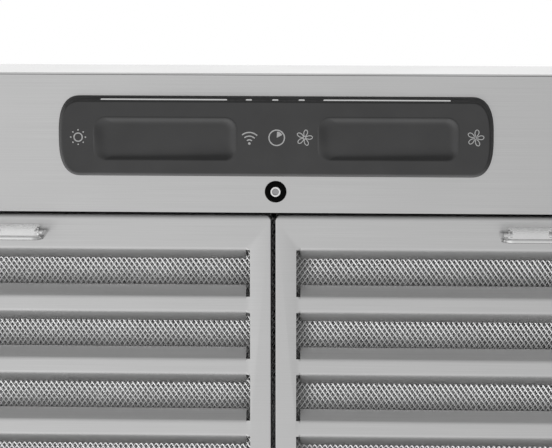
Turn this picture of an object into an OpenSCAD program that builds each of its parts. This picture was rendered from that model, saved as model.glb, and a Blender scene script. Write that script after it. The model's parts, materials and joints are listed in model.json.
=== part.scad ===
// Wall-mounted chimney range hood, in millimetres.
// The origin is on the wall face, at the middle of the hood's lower edge.
// +X is to the right seen from the front, the front is -Y, and +Z is up.

/* [Hood] */
// Width of the hood over its rim
hood_w = 760; // [700:5:1000]
// Depth of the hood from the wall to the front of the rim
hood_d = 500; // [490:5:560]
// Height of the straight rim below the sloped canopy
rim_h = 50; // [40:1:70]
// Height of the sloped canopy above the rim
slope_h = 200; // [190:5:240]
// Thickness of the stainless sheet
sheet_t = 1.2; // [0.8:0.1:1.6]
// Gap between the underside panel and the rim
panel_gap = 0.3; // [0.2:0.05:0.6]

/* [Underside panel] */
// Depth of the front strip, from the rim to the filters
front_strip = 98.6; // [96:0.2:110]
// Width of the strips beside the filters
side_strip = 15; // [14:0.5:20]
// Height of the flange that stands round the filter opening
flange_h = 36; // [34:0.5:40]
// Height of the flange at the panel's outer edge
edge_flange_h = 14; // [10:0.5:20]

/* [Control pod] */
// Length of the pod where it meets the panel
pod_l = 304.8; // [290:0.2:330]
// Depth of the pod where it meets the panel
pod_d = 56.8; // [54:0.2:60]
// Distance from the front of the rim to the pod
pod_setback = 16; // [12:0.2:20]
// How far the pod stands down from the panel
pod_h = 9.6; // [9:0.1:11]
// Corner radius of the pod at the panel
pod_corner_r = 17; // [14:0.5:20]
// How much the side walls lean in over the pod's height
pod_lean = 2.84; // [2:0.02:3.4]
// Radius of the edge between the side walls and the face
pod_edge_r = 1.2; // [0.8:0.1:1.6]
// Wall thickness of the pod
pod_wall = 2.6; // [2.4:0.1:3]
// Length of each dished slider pad
pad_l = 98.5; // [80:0.5:102]
// Depth of each slider pad from front to back
pad_d = 29.4; // [24:0.2:31]
// Distance from the middle of the pod to the middle of a pad
pad_x = 78; // [77:0.5:80]
// How deep the pads are dished
pad_sink = 1.4; // [1:0.1:1.5]
// Corner radius of the pads
pad_corner_r = 6; // [4:0.5:8]
// Length of the two long light bars
bar_l = 89.5; // [70:0.5:92]
// Distance from the middle of the pod to the middle of a light bar
bar_x = 78; // [77:0.5:80]
// Length of the three short light windows
dot_l = 4.2; // [3:0.1:6]
// Spacing of the three short light windows
dot_pitch = 18.4; // [14:0.1:19]
// Height of the light windows
light_h = 2; // [1.4:0.1:2.2]
// Clearance round a light guide in its window
light_gap = 0.1; // [0.05:0.01:0.2]
// Thickness of the circuit boards
board_t = 1.6; // [1.2:0.1:2]

/* [Heat sensor] */
// Distance from the front of the rim to the sensor
sensor_setback = 83.6; // [82.4:0.1:85]
// Outer diameter of the sensor's black bezel
sensor_bezel_dia = 15.3; // [14:0.1:16]
// Diameter of the silver sensor can
sensor_can_dia = 7.1; // [6:0.1:8]
// Diameter of the sensor's window
sensor_window_dia = 4.6; // [4:0.1:5]

/* [Lamps] */
// Distance from the middle of the hood to each lamp
lamp_x = 270; // [230:5:300]
// Outer diameter of the lamp bezel
lamp_bezel_dia = 66; // [60:1:72]
// Diameter of the lamp lens
lamp_lens_dia = 50; // [44:1:54]
// Height of the lamp module above the panel
lamp_module_h = 24; // [18:1:30]

/* [Filters] */
// Least depth of the strip behind the filters
rear_strip = 30; // [24:1:44]
// Opening of a slot, front to back
slot_h = 33.5; // [32:0.1:33.8]
// Width of the face left between two slots
slot_land = 11.5; // [10:0.1:11.8]
// Width of the face in front of the first slot and behind the last
end_land = 25.2; // [24:0.1:26]
// Width of the face beside the slots
side_land = 15.2; // [12:0.1:20]
// Length of the relief cut beyond each end of a lip
relief = 2.9; // [2:0.1:4]
// How far a bent lip reaches into its slot
lip_run = 7.3; // [5:0.1:8]
// How high a bent lip rises
lip_rise = 7; // [6:0.1:9]
// Thickness of the filter's face sheet
face_t = 0.8; // [0.6:0.1:1]
// Outer radius of the filter's folded edges
edge_r = 4; // [3.8:0.1:4.4]
// Height of a filter
filter_h = 25; // [24:0.5:28]
// Thickness of the mesh
mesh_t = 1.2; // [0.8:0.1:2]
// Diamond openings along each slot in the mesh
mesh_gaps = 21; // [8:1:21]
// Width of the strands between two diamonds
strand_w = 1.8; // [1.2:0.1:3]
// Gap between the two filters
seam_gap = 2.3; // [1.6:0.1:3]
// Gap before and behind a filter
end_gap = 1.6; // [1.5:0.1:2.4]
// Side play of the filter pair in its opening
side_play = 5.7; // [4:0.1:8]
// How far the pair sits to the left of the middle
pair_shift = 1.8; // [0:0.1:1.9]
// Radius of the filter's hinge pins
pin_r = 2; // [1.8:0.05:2.2]
// Running clearance of every pin in its bearing, on the radius
run_gap = 0.06; // [0.03:0.01:0.09]
// Radius of the wire of a filter's pull handle
wire_r = 1.6; // [1.4:0.05:1.8]
// Width of a pull handle
handle_w = 44; // [36:1:60]
// Drop of a pull handle
handle_drop = 26; // [20:1:34]

/* [Blower] */
// Radius of the impeller
impeller_r = 75; // [70:1:77]
// Width of the impeller
impeller_w = 119; // [110:1:120]
// Number of blades
blade_count = 36; // [24:1:44]
// Radial depth of a blade
blade_depth = 12; // [10:0.5:14]
// Gap between the impeller and the tongue of the scroll
tongue_gap = 8; // [6:0.5:9]
// Growth of the scroll round the impeller
scroll_growth = 35; // [30:1:36]
// Inner width of the scroll
scroll_w = 132; // [130:1:136]
// Radius of the two air inlets
inlet_r = 61; // [58:0.5:62]
// Radius of the motor
motor_r = 42; // [38:0.5:44]
// Length of the motor
motor_l = 82; // [70:1:86]
// Radius of the motor shaft
shaft_r = 4; // [3:0.1:5]

/* [Duct] */
// Outer diameter of the duct collar
collar_dia = 150; // [140:1:155]
// Height of the duct collar
collar_h = 60; // [50:1:80]
// Height of the transition below the collar
transition_h = 48; // [40:1:60]
// Thickness of the damper flaps
flap_t = 0.8; // [0.6:0.1:1.2]
// Gap between the flaps and the collar
flap_gap = 1.2; // [0.8:0.1:2]

/* [Chimney] */
// Width of the lower chimney cover
chimney_w = 300; // [290:1:330]
// Depth of the lower chimney cover
chimney_d = 270; // [266:1:290]
// Height of the lower chimney cover
chimney_h = 420; // [380:5:600]
// Thickness of the chimney sheet
chimney_t = 1; // [0.8:0.1:1.2]
// Gap between the two chimney covers
chimney_gap = 0.5; // [0.3:0.05:0.8]
// Width of the flanges folded in along the covers' edges
return_w = 16; // [14:0.5:24]

/* [Electrics] */
// Width of the junction box
junction_w = 110; // [90:1:120]
// Width of the control box
control_w = 120; // [100:1:125]
// Depth of both boxes
box_d = 48; // [40:1:52]
// Height of both boxes
box_h = 60; // [50:1:64]
// Thickness of the box sheet
box_t = 1; // [0.8:0.1:1.2]
// Inner diameter of the bushing that the power lead comes in by
inlet_dia = 18; // [14:0.5:20]

/* [Fixings] */
// Diameter of the wall screw holes
wall_hole_dia = 8; // [6:0.1:10]
// Distance between the wall screw holes across the hood
wall_hole_w = 300; // [296:1:310]
// Distance between the wall screw holes up the wall
wall_hole_h = 125; // [100:1:130]
// Height of the lower wall screw holes
wall_hole_z = 65; // [60:1:70]
// Diameter of the sheet metal screws
screw_dia = 4; // [3:0.1:4.5]
// Clearance of a screw in its hole, on the radius
screw_gap = 0.2; // [0.1:0.05:0.4]

/* [Hidden] */
$fn = 48;
eps = 0.01;

steel = "silver";
dark_plastic = [0.26, 0.26, 0.27];
galvanised = [0.66, 0.68, 0.69];
board_green = [0.1, 0.35, 0.2];

hood_front = -hood_d;
top_z = rim_h + slope_h;
panel_edge = sheet_t + panel_gap;
weld_gap = 0.1;

// Filter opening and the two filters in it
opening_w = hood_w - 2 * panel_edge - 2 * side_strip;
filter_w = (opening_w - seam_gap - side_play) / 2;
slot_count = floor((hood_d - front_strip - rear_strip - 2 * (end_gap + end_land) + slot_land)
  / (slot_h + slot_land));
filter_l = 2 * end_land + slot_count * slot_h + (slot_count - 1) * slot_land;
slot_l = filter_w - 2 * side_land;
slot_pitch = slot_h + slot_land;
filter_front = hood_front + front_strip + end_gap;
filter_rear = filter_front + filter_l;
opening_front = hood_front + front_strip;
opening_rear = filter_rear + end_gap;
filter_offset = (filter_w + seam_gap) / 2;
hinge_y = filter_rear - edge_r;
hinge_z = edge_r;
hem = 3;
mesh_z = lip_rise + 0.7;
frame_z = mesh_z + mesh_t;
frame_t = 1;
frame_gap = 0.2;
frame_flange = 12;
pin_l = 20;
pin_inset = 60;
cheek_l = 6;
notch_r = 4.6;
hook_w = 16;
hook_t = 1.5;
magnet_inset = 70;
magnet_l = 26;
magnet_d = 11;
magnet_t = 5;
seat_gap = 0.3;
handle_y = filter_front + end_land / 2;
handle_z = -4;
ear_t = 1.2;
ear_inset = 6;

// Control pod
pod_y = hood_front + pod_setback + pod_d / 2;
pod_bulge_r = 160;
light_z = -0.56 * pod_h;
board_top = light_z + light_h / 2 + board_t;
boss_x = [-132, -27, 27, 132];
boss_y = pod_d / 2 - 10;
boss_r = 3;
boss_step = 1.6;
guide_in = 12;
pod_hole_inset = 16;

// Sensor and lamps
sensor_y = hood_front + sensor_setback;
sensor_sleeve_r = 5.5;
sensor_sleeve_h = 8;
lamp_y = hood_front + front_strip / 2;
lamp_body_r = lamp_lens_dia / 2 + 3;

// Blower, whose shaft lies along X
outlet_y = -chimney_d / 2;
tongue_a = 60;
scroll_end_r = impeller_r + tongue_gap + scroll_growth;
tongue_r = impeller_r + tongue_gap;
throat_in = tongue_r * cos(tongue_a);
neck_d = scroll_end_r - throat_in + 2 * sheet_t + 1;
blower_y = outlet_y - (throat_in + scroll_end_r) / 2;
blower_z = top_z - 100;
outlet_top = top_z + 1.5;
outlet_flange = 14;
side_in = scroll_w / 2;
side_out = side_in + sheet_t;
motor_end = -14;
motor_start = motor_end - motor_l;
motor_wall = 2;
cap_t = 3;
bearing_r = 9;
bearing_l = 8;
stator_r = 26;
stator_in = 13;
rotor_gap = 0.6;
bracket_t = 3;
hub_r = 12;
hub_l = 24;
blade_t = 1;
blade_in = 0.8;
blade_turn = 35;
ring_t = 2;
arm_r = 82;
motor_screw_r = 76;
motor_arms = [90, 210, 330];

// Duct
collar_r = collar_dia / 2;
plate_t = 1.5;
cone_z = outlet_top + plate_t;
collar_z = cone_z + transition_h;
collar_in = collar_r - sheet_t;
damper_z = collar_z + 14;
rod_r = 2;
knuckle_r = 3.2;
knuckle_l = 14;
stop_l = 5;

// Chimney
upper_in = chimney_t + chimney_gap;
upper_w = chimney_w - 2 * upper_in;
upper_d = chimney_d - 2 * upper_in;
upper_z = top_z + chimney_t + seat_gap;
upper_h = chimney_h + 8;
upper_top = upper_z + upper_h;
vent_count = 6;
vent_w = 5;
vent_l = 90;
vent_pitch = 14;
bracket_w = upper_w - 2 * chimney_t - 2 * seat_gap;
bracket_d = 30;
bracket_h = 40;
bracket_hole_w = 200;

// Electrics on the back wall
back_in = -sheet_t;
box_z = 40;
junction_x = 135 - hood_w / 2;
control_x = hood_w / 2 - 140;
inlet_z = box_z + box_h / 2;
lid_gap = 0.2;
louvre_count = 6;
louvre_pitch = 12;
standoff_in = 16;
capacitor_x = 100;
capacitor_r = 18;
capacitor_l = 70;
lead_r = 3;
capacitor_z = 70;
lead_in = 8;
mains_z = 48;
mains_y = -14;
mains_run = [[junction_x + junction_w / 2 - lead_in, mains_y, mains_z],
  [control_x - control_w / 2 + lead_in, mains_y, mains_z]];
motor_run = [[-85, mains_y, mains_z], [-85, blower_y, mains_z], [-85, blower_y, blower_z - motor_r]];
loom_z = 44;
loom_x = hood_w / 2 - 16;
loom_y = lamp_y;
loom_end = lamp_module_h + sheet_t + 0.1;
light_run = [[control_x + control_w / 2 - lead_in, -25, loom_z], [loom_x, -25, loom_z],
  [loom_x, loom_y, loom_z], [-lamp_x, loom_y, loom_z], [-lamp_x, loom_y, loom_end]];
lamp_run = [[lamp_x, loom_y, loom_z], [lamp_x, loom_y, loom_end]];
pod_run = [[110, loom_y, loom_z], [110, pod_y, loom_z], [110, pod_y, board_top]];
sensor_run = [[0, loom_y, loom_z], [0, sensor_y, loom_z], [0, sensor_y, sensor_sleeve_h + 1]];

head_h = 2.2;
screw_r = screw_dia / 2;
head_r = 1.9 * screw_r;

// Lays a front-to-back outline (y, z) along X
module along_x(length) {
  rotate([90, 0, 90]) linear_extrude(length, center = true) children();
}

// Lays a left-to-right outline (x, z) along Y, from y = 0 to -length
module along_y(length) {
  rotate([90, 0, 0]) linear_extrude(length) children();
}

// A box from its lowest corner to its highest corner
module block(low, high) {
  translate(low) cube(high - low);
}

// A rod along X between two x values
module rod_x(x0, x1, r) {
  translate([x0, 0, 0]) rotate([0, 90, 0]) cylinder(h = x1 - x0, r = r);
}

// A rod along Y between two y values
module rod_y(y0, y1, r) {
  translate([0, y0, 0]) rotate([-90, 0, 0]) cylinder(h = y1 - y0, r = r);
}

// An upright pan head screw, its head's seat at z = 0 and its shank going up
module screw_up(length) {
  translate([0, 0, -head_h]) cylinder(h = head_h, r = head_r);
  translate([0, 0, -eps]) cylinder(h = length + eps, r = screw_r);
}

// The same screw with its shank going down
module screw_down(length) {
  mirror([0, 0, 1]) screw_up(length);
}

// A lead that follows its points with round corners
module lead(points) {
  for (i = [0 : len(points) - 2]) {
    run = points[i + 1] - points[i];
    length = norm(run);
    turn = atan2(run[1], run[0]);
    tilt = acos(run[2] / length);
    translate(points[i]) rotate([0, tilt, turn]) cylinder(h = length, r = lead_r, $fn = 20);
  }
  for (i = [1 : 1 : len(points) - 2]) translate(points[i]) sphere(r = lead_r, $fn = 20);
}

// Half width and front edge of the canopy's outer skin at a height
function canopy_x(z) = z <= rim_h ? hood_w / 2
  : hood_w / 2 - (hood_w - chimney_w) / 2 * (z - rim_h) / slope_h;
function canopy_y(z) = z <= rim_h ? hood_front
  : hood_front + (hood_d - chimney_d) * (z - rim_h) / slope_h;

// The canopy's outline as a solid, drawn in by a sheet, from low to high
module canopy_form(inset, low, high) {
  intersection() {
    along_x(hood_w) polygon([[hood_front + inset, low], [-inset, low], [-inset, high],
      [canopy_y(high) + inset, high], [hood_front + inset, rim_h]]);
    along_y(hood_d) polygon([[inset - hood_w / 2, low], [hood_w / 2 - inset, low],
      [hood_w / 2 - inset, rim_h], [canopy_x(high) - inset, high],
      [inset - canopy_x(high), high], [inset - hood_w / 2, rim_h]]);
  }
}

module wall_holes(y0, y1, r) {
  for (x = [-wall_hole_w / 2, wall_hole_w / 2], z = [wall_hole_z, wall_hole_z + wall_hole_h])
    translate([x, 0, z]) rod_y(y0, y1, r);
}

// Places of the screws that hold the lower chimney cover to the canopy
module at_chimney_screws() {
  for (x = [-1, 1], y = [-40, -chimney_d + 40])
    translate([x * (chimney_w / 2 - chimney_t - return_w / 2), y, 0]) children();
}

// Places of the screws in the blower's outlet flange
module at_blower_screws() {
  for (x = [-1, 1], y = [-1, 1])
    translate([x * (side_out + outlet_flange / 2), outlet_y + y * 20, 0]) children();
}

// The canopy's skin over a part of its plan
module canopy_skin() {
  difference() {
    intersection() {
      canopy_form(0, 0, top_z);
      translate([0, 0, -1]) linear_extrude(top_z + 2) children();
    }
    canopy_form(sheet_t, -1, top_z - sheet_t);
  }
}

// Front sheet, two side sheets and top plate, welded at their edges
module canopy_shell() {
  half = chimney_w / 2;
  color(steel) {
    canopy_skin() polygon([[-hood_w / 2, hood_front], [hood_w / 2, hood_front], [half, -chimney_d],
      [-half, -chimney_d]]);
    for (side = [0, 1]) mirror([side, 0, 0]) canopy_skin()
      polygon([[hood_w / 2, hood_front + weld_gap], [hood_w / 2, back_in], [half + weld_gap, back_in],
        [half + weld_gap, weld_gap - chimney_d]]);
    difference() {
      canopy_skin() translate([weld_gap - half, weld_gap - chimney_d])
        square([2 * (half - weld_gap), chimney_d - weld_gap + back_in]);
      // Outlet of the blower
      translate([-side_out - 1, outlet_y - neck_d / 2, top_z - 5]) cube([2 * side_out + 2, neck_d, 10]);
      at_blower_screws() translate([0, 0, top_z - 5]) cylinder(h = 10, r = screw_r + screw_gap);
      at_chimney_screws() translate([0, 0, top_z - 5]) cylinder(h = 10, r = screw_r + screw_gap);
    }
  }
}

module canopy_back() {
  color(galvanised) difference() {
    intersection() {
      canopy_form(0, 0, top_z);
      translate([-hood_w / 2, back_in, 0]) cube([hood_w, sheet_t, top_z]);
    }
    wall_holes(-2 * sheet_t, 1, wall_hole_dia / 2);
    translate([junction_x, 0, inlet_z]) rod_y(-2 * sheet_t, 1, inlet_dia / 2 + 2);
  }
}

module hanging_plates() {
  plate_w = 40;
  plate_end = 22;
  color(galvanised) difference() {
    for (x = [-1, 1]) translate([x * wall_hole_w / 2 - plate_w / 2, back_in - 3, wall_hole_z - plate_end])
      cube([plate_w, 3, wall_hole_h + 2 * plate_end]);
    wall_holes(back_in - 4, back_in + 1, wall_hole_dia / 2);
  }
}

// Corners of the panel where it is screwed to the rim
bracket_x = hood_w / 2 - sheet_t - 30;
panel_bracket_y = [hood_front + 26, -18];

module at_panel_screws() {
  for (x = [-1, 1], y = panel_bracket_y) translate([x * bracket_x, y, 0]) children();
}

module corner_brackets() {
  leg = 36;
  wide = 20;
  color(galvanised) difference() {
    for (x = [-1, 1], y = panel_bracket_y) translate([0, y, 0]) {
      out = hood_w / 2 - sheet_t;
      low = edge_flange_h + seat_gap;
      // Foot on the panel, a riser clear of the panel's edge, and a leg on the rim
      mirror([x < 0 ? 1 : 0, 0, 0]) {
        block([bracket_x - 10, -wide / 2, sheet_t], [bracket_x + 12, wide / 2, sheet_t + 2]);
        block([bracket_x + 10, -wide / 2, sheet_t], [bracket_x + 12, wide / 2, low + 2]);
        block([bracket_x + 10, -wide / 2, low], [out, wide / 2, low + 2]);
        block([out - 2, -wide / 2, low], [out, wide / 2, leg]);
      }
    }
    at_panel_screws() cylinder(h = 10, r = screw_r + screw_gap / 2);
  }
}

// Outer edge of the underside panel
module panel_plan(inset) {
  translate([panel_edge + inset - hood_w / 2, hood_front + panel_edge + inset])
    square([hood_w - 2 * (panel_edge + inset), hood_d - 2 * (panel_edge + inset)]);
}

module opening_plan(grow) {
  translate([-opening_w / 2 - grow, opening_front - grow])
    square([opening_w + 2 * grow, opening_rear - opening_front + 2 * grow]);
}

module at_fascia_screws() {
  for (x = boss_x, y = [-boss_y, boss_y]) translate([x, pod_y + y, 0]) children();
}

module underside_panel() {
  color(steel) difference() {
    union() {
      linear_extrude(sheet_t) difference() {
        panel_plan(0);
        opening_plan(0);
      }
      // Folded-up outer edge
      linear_extrude(edge_flange_h) difference() {
        panel_plan(0);
        panel_plan(sheet_t);
      }
      // Flange round the filters
      linear_extrude(flange_h) difference() {
        opening_plan(sheet_t);
        opening_plan(0);
      }
    }
    // Cable way into the pod
    translate([-pod_l / 2 + 2 * pod_hole_inset, pod_y - 8, -1])
      cube([pod_l - 4 * pod_hole_inset, 16, sheet_t + 2]);
    at_fascia_screws() translate([0, 0, -1]) cylinder(h = sheet_t + 2, r = 1.5 + screw_gap);
    translate([0, sensor_y, -1]) cylinder(h = sheet_t + 2, r = sensor_sleeve_r + screw_gap);
    for (x = [-lamp_x, lamp_x]) translate([x, lamp_y, -1])
      cylinder(h = sheet_t + 2, r = lamp_body_r + 0.5);
    at_panel_screws() translate([0, 0, -1]) cylinder(h = sheet_t + 2, r = screw_r + screw_gap);
  }
}

module panel_screws() {
  color("gainsboro") at_panel_screws() screw_up(8);
}

// Places of the hinge pins along one filter, from its middle
hinge_x = [pin_inset - filter_w / 2, filter_w / 2 - pin_inset];

module at_filter(side) {
  translate([side * filter_offset - pair_shift, 0, 0]) children();
}

// Outline of a hook that cups a hinge pin from below, seen along X
module hook_outline() {
  inner = pin_r + run_gap;
  difference() {
    circle(r = inner + hook_t);
    circle(r = inner);
    translate([-2 * notch_r, 0]) square([4 * notch_r, 2 * notch_r]);
  }
  translate([inner, -eps]) square([opening_rear - hinge_y - inner, hook_t]);
}

module filter_hooks() {
  color(galvanised) for (side = [-1, 1], x = hinge_x) at_filter(side)
    translate([x, hinge_y, hinge_z]) along_x(hook_w) hook_outline();
}

// Places of the magnets along one filter, from its middle
magnet_x = [magnet_inset - filter_w / 2, filter_w / 2 - magnet_inset];
magnet_z = filter_h + seat_gap;

module magnet_brackets() {
  wide = magnet_l + 6;
  color(galvanised) for (side = [-1, 1], x = magnet_x) at_filter(side) {
    translate([x - wide / 2, opening_front, magnet_z + magnet_t]) cube([wide, magnet_d + 3, 1]);
    translate([x - wide / 2, opening_front, magnet_z + magnet_t])
      cube([wide, 1, flange_h - magnet_z - magnet_t]);
  }
}

module catch_magnets() {
  color([0.2, 0.2, 0.22]) for (side = [-1, 1], x = magnet_x) at_filter(side)
    translate([x - magnet_l / 2, opening_front + 2, magnet_z]) cube([magnet_l, magnet_d, magnet_t]);
}

// Outline of the pod, drawn in by an inset
module pod_plan(inset) {
  r = pod_corner_r - inset;
  x = pod_l / 2 - inset;
  y = pod_d / 2 - inset;
  intersection() {
    hull() for (i = [-1, 1], j = [-1, 1]) translate([i * (x - r), j * (y - r)]) circle(r = r, $fn = 32);
    // Shallow arcs across the ends
    intersection_for(i = [-1, 1]) translate([i * (x - pod_bulge_r), 0]) circle(r = pod_bulge_r, $fn = 180);
  }
}

// The pod's form, drawn in by a wall: leaning sides, and a rounded edge to the face
module pod_form(inset, top) {
  lean = pod_lean * (pod_h - pod_edge_r) / pod_h + inset;
  low = inset - pod_h;
  translate([0, pod_y, 0]) hull() {
    translate([0, 0, -eps]) linear_extrude(top + eps) pod_plan(inset);
    translate([0, 0, low + pod_edge_r]) linear_extrude(eps) pod_plan(lean);
    translate([0, 0, low + 0.3 * pod_edge_r]) linear_extrude(eps) pod_plan(lean + 0.45 * pod_edge_r);
    translate([0, 0, low]) linear_extrude(eps) pod_plan(lean + 1.1 * pod_edge_r);
  }
}

// Cutter for a dished pad: full size at the face, and drawn in towards its floor
module pad_dish() {
  x = pad_l / 2 - pad_corner_r;
  y = pad_d / 2 - pad_corner_r;
  rim_in = 0.7;
  floor_in = 2.4;
  hull() for (i = [-1, 1], j = [-1, 1]) translate([i * x, j * y, 0]) {
    translate([0, 0, -1]) cylinder(h = 1, r = pad_corner_r, $fn = 24);
    cylinder(h = 0.7 * pad_sink, r = pad_corner_r - rim_in, $fn = 24);
    cylinder(h = pad_sink, r = pad_corner_r - floor_in, $fn = 24);
  }
}

// The light windows in the pod's front wall, grown by a gap
module light_windows(gap, depth) {
  front = pod_y - pod_d / 2 - 1;
  for (x = [-bar_x, bar_x]) translate([x - bar_l / 2 - gap, front, light_z - light_h / 2 - gap])
    cube([bar_l + 2 * gap, depth, light_h + 2 * gap]);
  for (i = [-1 : 1]) translate([i * dot_pitch - dot_l / 2 - gap, front, light_z - light_h / 2 - gap])
    cube([dot_l + 2 * gap, depth, light_h + 2 * gap]);
}

module control_fascia() {
  color(dark_plastic) difference() {
    union() {
      difference() {
        pod_form(0, 0);
        pod_form(pod_wall, 1);
      }
      at_fascia_screws() {
        translate([0, 0, pod_wall - pod_h - 0.2]) cylinder(h = pod_h - pod_wall + 0.2, r = boss_r, $fn = 24);
        translate([0, 0, pod_wall - pod_h - 0.2])
          cylinder(h = board_top - board_t - pod_wall + pod_h + 0.2, r = boss_r + boss_step, $fn = 24);
      }
    }
    for (x = [-pad_x, pad_x]) translate([x, pod_y, -pod_h]) pad_dish();
    light_windows(light_gap, 3 * pod_wall);
    at_fascia_screws() translate([0, 0, 1 - pod_h + pod_wall]) cylinder(h = pod_h, r = 1.3, $fn = 16);
  }
}

module touch_board() {
  edge = pod_wall + pod_lean + 1;
  color(board_green) difference() {
    union() {
      translate([edge + 4 - pod_l / 2, pod_y - pod_d / 2 + edge, board_top - board_t])
        cube([pod_l - 2 * edge - 8, pod_d - 2 * edge, board_t]);
      // Connector and driver chips
      translate([30, pod_y - 6, board_top - eps]) cube([14, 8, 1.6]);
      translate([-52, pod_y - 5, board_top - eps]) cube([10, 10, 1]);
    }
    for (x = [-1, 1], y = [-1, 1]) translate([x * (pod_l / 2 - edge - 4), pod_y + y * (pod_d / 2 - edge), 0])
      rotate(45) cube([16, 16, 4 * pod_h], center = true);
    at_fascia_screws() translate([0, 0, -pod_h]) cylinder(h = pod_h, r = boss_r + screw_gap);
  }
}

module led_light_guides() {
  color("white") intersection() {
    pod_form(0, 0);
    light_windows(0, guide_in);
  }
}

module fascia_screws() {
  color("gainsboro") at_fascia_screws() {
    translate([0, 0, sheet_t]) cylinder(h = head_h, r = 2.9);
    translate([0, 0, 1.6 - pod_h + pod_wall]) cylinder(h = pod_h - pod_wall - 0.6 + sheet_t, r = 1.25);
  }
}

module sensor_bezel() {
  flange = 1.2;
  can_r = sensor_can_dia / 2 + 0.1;
  color([0.05, 0.05, 0.05]) translate([0, sensor_y, 0]) difference() {
    union() {
      translate([0, 0, -flange]) cylinder(h = flange, r = sensor_bezel_dia / 2);
      translate([0, 0, -eps]) cylinder(h = sensor_sleeve_h, r = sensor_sleeve_r);
      // Snap rim above the panel
      translate([0, 0, sheet_t + 0.1]) cylinder(h = 1.5, r1 = sensor_sleeve_r + 0.9, r2 = sensor_sleeve_r);
    }
    translate([0, 0, -flange - 1]) cylinder(h = sensor_sleeve_h + 4, r = can_r);
  }
}

module sensor_can() {
  r = sensor_can_dia / 2;
  color("silver") translate([0, sensor_y, 0]) difference() {
    union() {
      translate([0, 0, -1]) cylinder(h = sensor_sleeve_h + 1, r = r);
      translate([0, 0, sensor_sleeve_h]) cylinder(h = 1, r = r + 1);
    }
    translate([0, 0, -2]) cylinder(h = 1.8, r = sensor_window_dia / 2);
  }
}

module sensor_window() {
  color([0.5, 0.5, 0.52]) translate([0, sensor_y, -0.8])
    cylinder(h = 0.6, r = sensor_window_dia / 2 - 0.02);
}

module lamp_bezels() {
  color(steel) for (x = [-lamp_x, lamp_x]) translate([x, lamp_y, 0]) difference() {
    union() {
      translate([0, 0, -1.6])
        cylinder(h = 1.6, r1 = lamp_bezel_dia / 2 - 1, r2 = lamp_bezel_dia / 2, $fn = 96);
      translate([0, 0, -eps]) cylinder(h = 5, r = lamp_body_r, $fn = 96);
    }
    translate([0, 0, -3]) cylinder(h = 4, r = lamp_lens_dia / 2 - 1.5, $fn = 96);
    translate([0, 0, -0.4]) cylinder(h = 10, r = lamp_lens_dia / 2 + 0.1, $fn = 96);
  }
}

module lamp_lenses() {
  color("white") for (x = [-lamp_x, lamp_x]) translate([x, lamp_y, -0.4])
    cylinder(h = 2.4, r = lamp_lens_dia / 2, $fn = 96);
}

module lamp_modules() {
  rib_count = 9;
  rib_pitch = 5;
  color([0.75, 0.76, 0.78]) for (x = [-lamp_x, lamp_x]) translate([x, lamp_y, 0]) {
    translate([0, 0, 2]) cylinder(h = 3 + seat_gap, r = lamp_lens_dia / 2);
    translate([0, 0, 5]) cylinder(h = 6, r = lamp_body_r, $fn = 96);
    // Cooling ribs
    intersection() {
      cylinder(h = lamp_module_h + sheet_t, r = lamp_body_r, $fn = 96);
      for (i = [0 : rib_count - 1])
        translate([(i - (rib_count - 1) / 2) * rib_pitch - 0.8, -lamp_body_r, 10])
          cube([1.6, 2 * lamp_body_r, lamp_module_h]);
    }
  }
}

// Spiral radius of the scroll at an angle
function scroll_r(a) = tongue_r + scroll_growth * (a - tongue_a) / (360 - tongue_a);

// Outline of the scroll and its outlet, seen along X, grown by a wall
module scroll_outline(grow, top) {
  step = 12;
  tongue_y = throat_in - grow;
  tongue_z = sqrt(pow(tongue_r + grow, 2) - pow(tongue_y, 2));
  polygon(concat(
    [[tongue_y, top], [tongue_y, tongue_z]],
    [for (a = [tongue_a + step : step : 360]) (scroll_r(a) + grow) * [cos(a), sin(a)]],
    [[scroll_end_r + grow, top]]));
}

module blower_scroll() {
  neck = outlet_top - blower_z;
  color(galvanised) {
    // Strip round the wheel
    translate([0, blower_y, blower_z]) along_x(scroll_w) difference() {
      scroll_outline(sheet_t, neck);
      scroll_outline(0, neck + 1);
    }
    // Side plates with the air inlets
    for (side = [-1, 1]) translate([0, blower_y, blower_z]) difference() {
      translate([side * (side_in + side_out + weld_gap) / 2, 0, 0]) along_x(sheet_t - weld_gap)
        scroll_outline(sheet_t, neck);
      rod_x(-side_out - 1, side_out + 1, inlet_r);
      for (a = motor_arms) rotate([a, 0, 0]) translate([0, 0, motor_screw_r])
        rod_x(-side_out - 1, -side_in, 1.5 + screw_gap);
    }
    // Flange on the canopy
    difference() {
      translate([-side_out - outlet_flange, outlet_y - neck_d / 2 - outlet_flange, top_z])
        cube([2 * (side_out + outlet_flange), neck_d + 2 * outlet_flange, plate_t]);
      translate([-side_out - weld_gap, outlet_y - neck_d / 2 + 0.4, top_z - 1])
        cube([2 * (side_out + weld_gap), neck_d - 0.8, plate_t + 2]);
      at_blower_screws() translate([0, 0, top_z - 1]) cylinder(h = 4, r = screw_r + screw_gap);
    }
  }
}

module inlet_rings() {
  lip = 4;
  color(galvanised) translate([0, blower_y, blower_z]) for (side = [0, 1]) mirror([side, 0, 0])
    difference() {
      union() {
        rod_x(side_in - sheet_t, side_in, inlet_r + 8);
        rod_x(side_in - lip, side_in, inlet_r + 1);
      }
      rod_x(side_in - lip - 1, side_in + 1, inlet_r - 0.5);
    }
}

module motor_bracket() {
  color([0.35, 0.36, 0.38]) translate([0, blower_y, blower_z]) difference() {
    union() {
      rod_x(-side_out - bracket_t - 6, -side_out, motor_r + 5);
      for (a = motor_arms) rotate([a, 0, 0])
        translate([-side_out - bracket_t, -8, motor_r + 2]) cube([bracket_t, 16, arm_r - motor_r - 2]);
    }
    rod_x(-side_out - bracket_t - 7, -side_out + 1, motor_r + 0.1);
    for (a = motor_arms) rotate([a, 0, 0])
      translate([-side_out - 10, 0, motor_screw_r]) rod_x(0, 20, 1.5 + screw_gap);
  }
}

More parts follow.
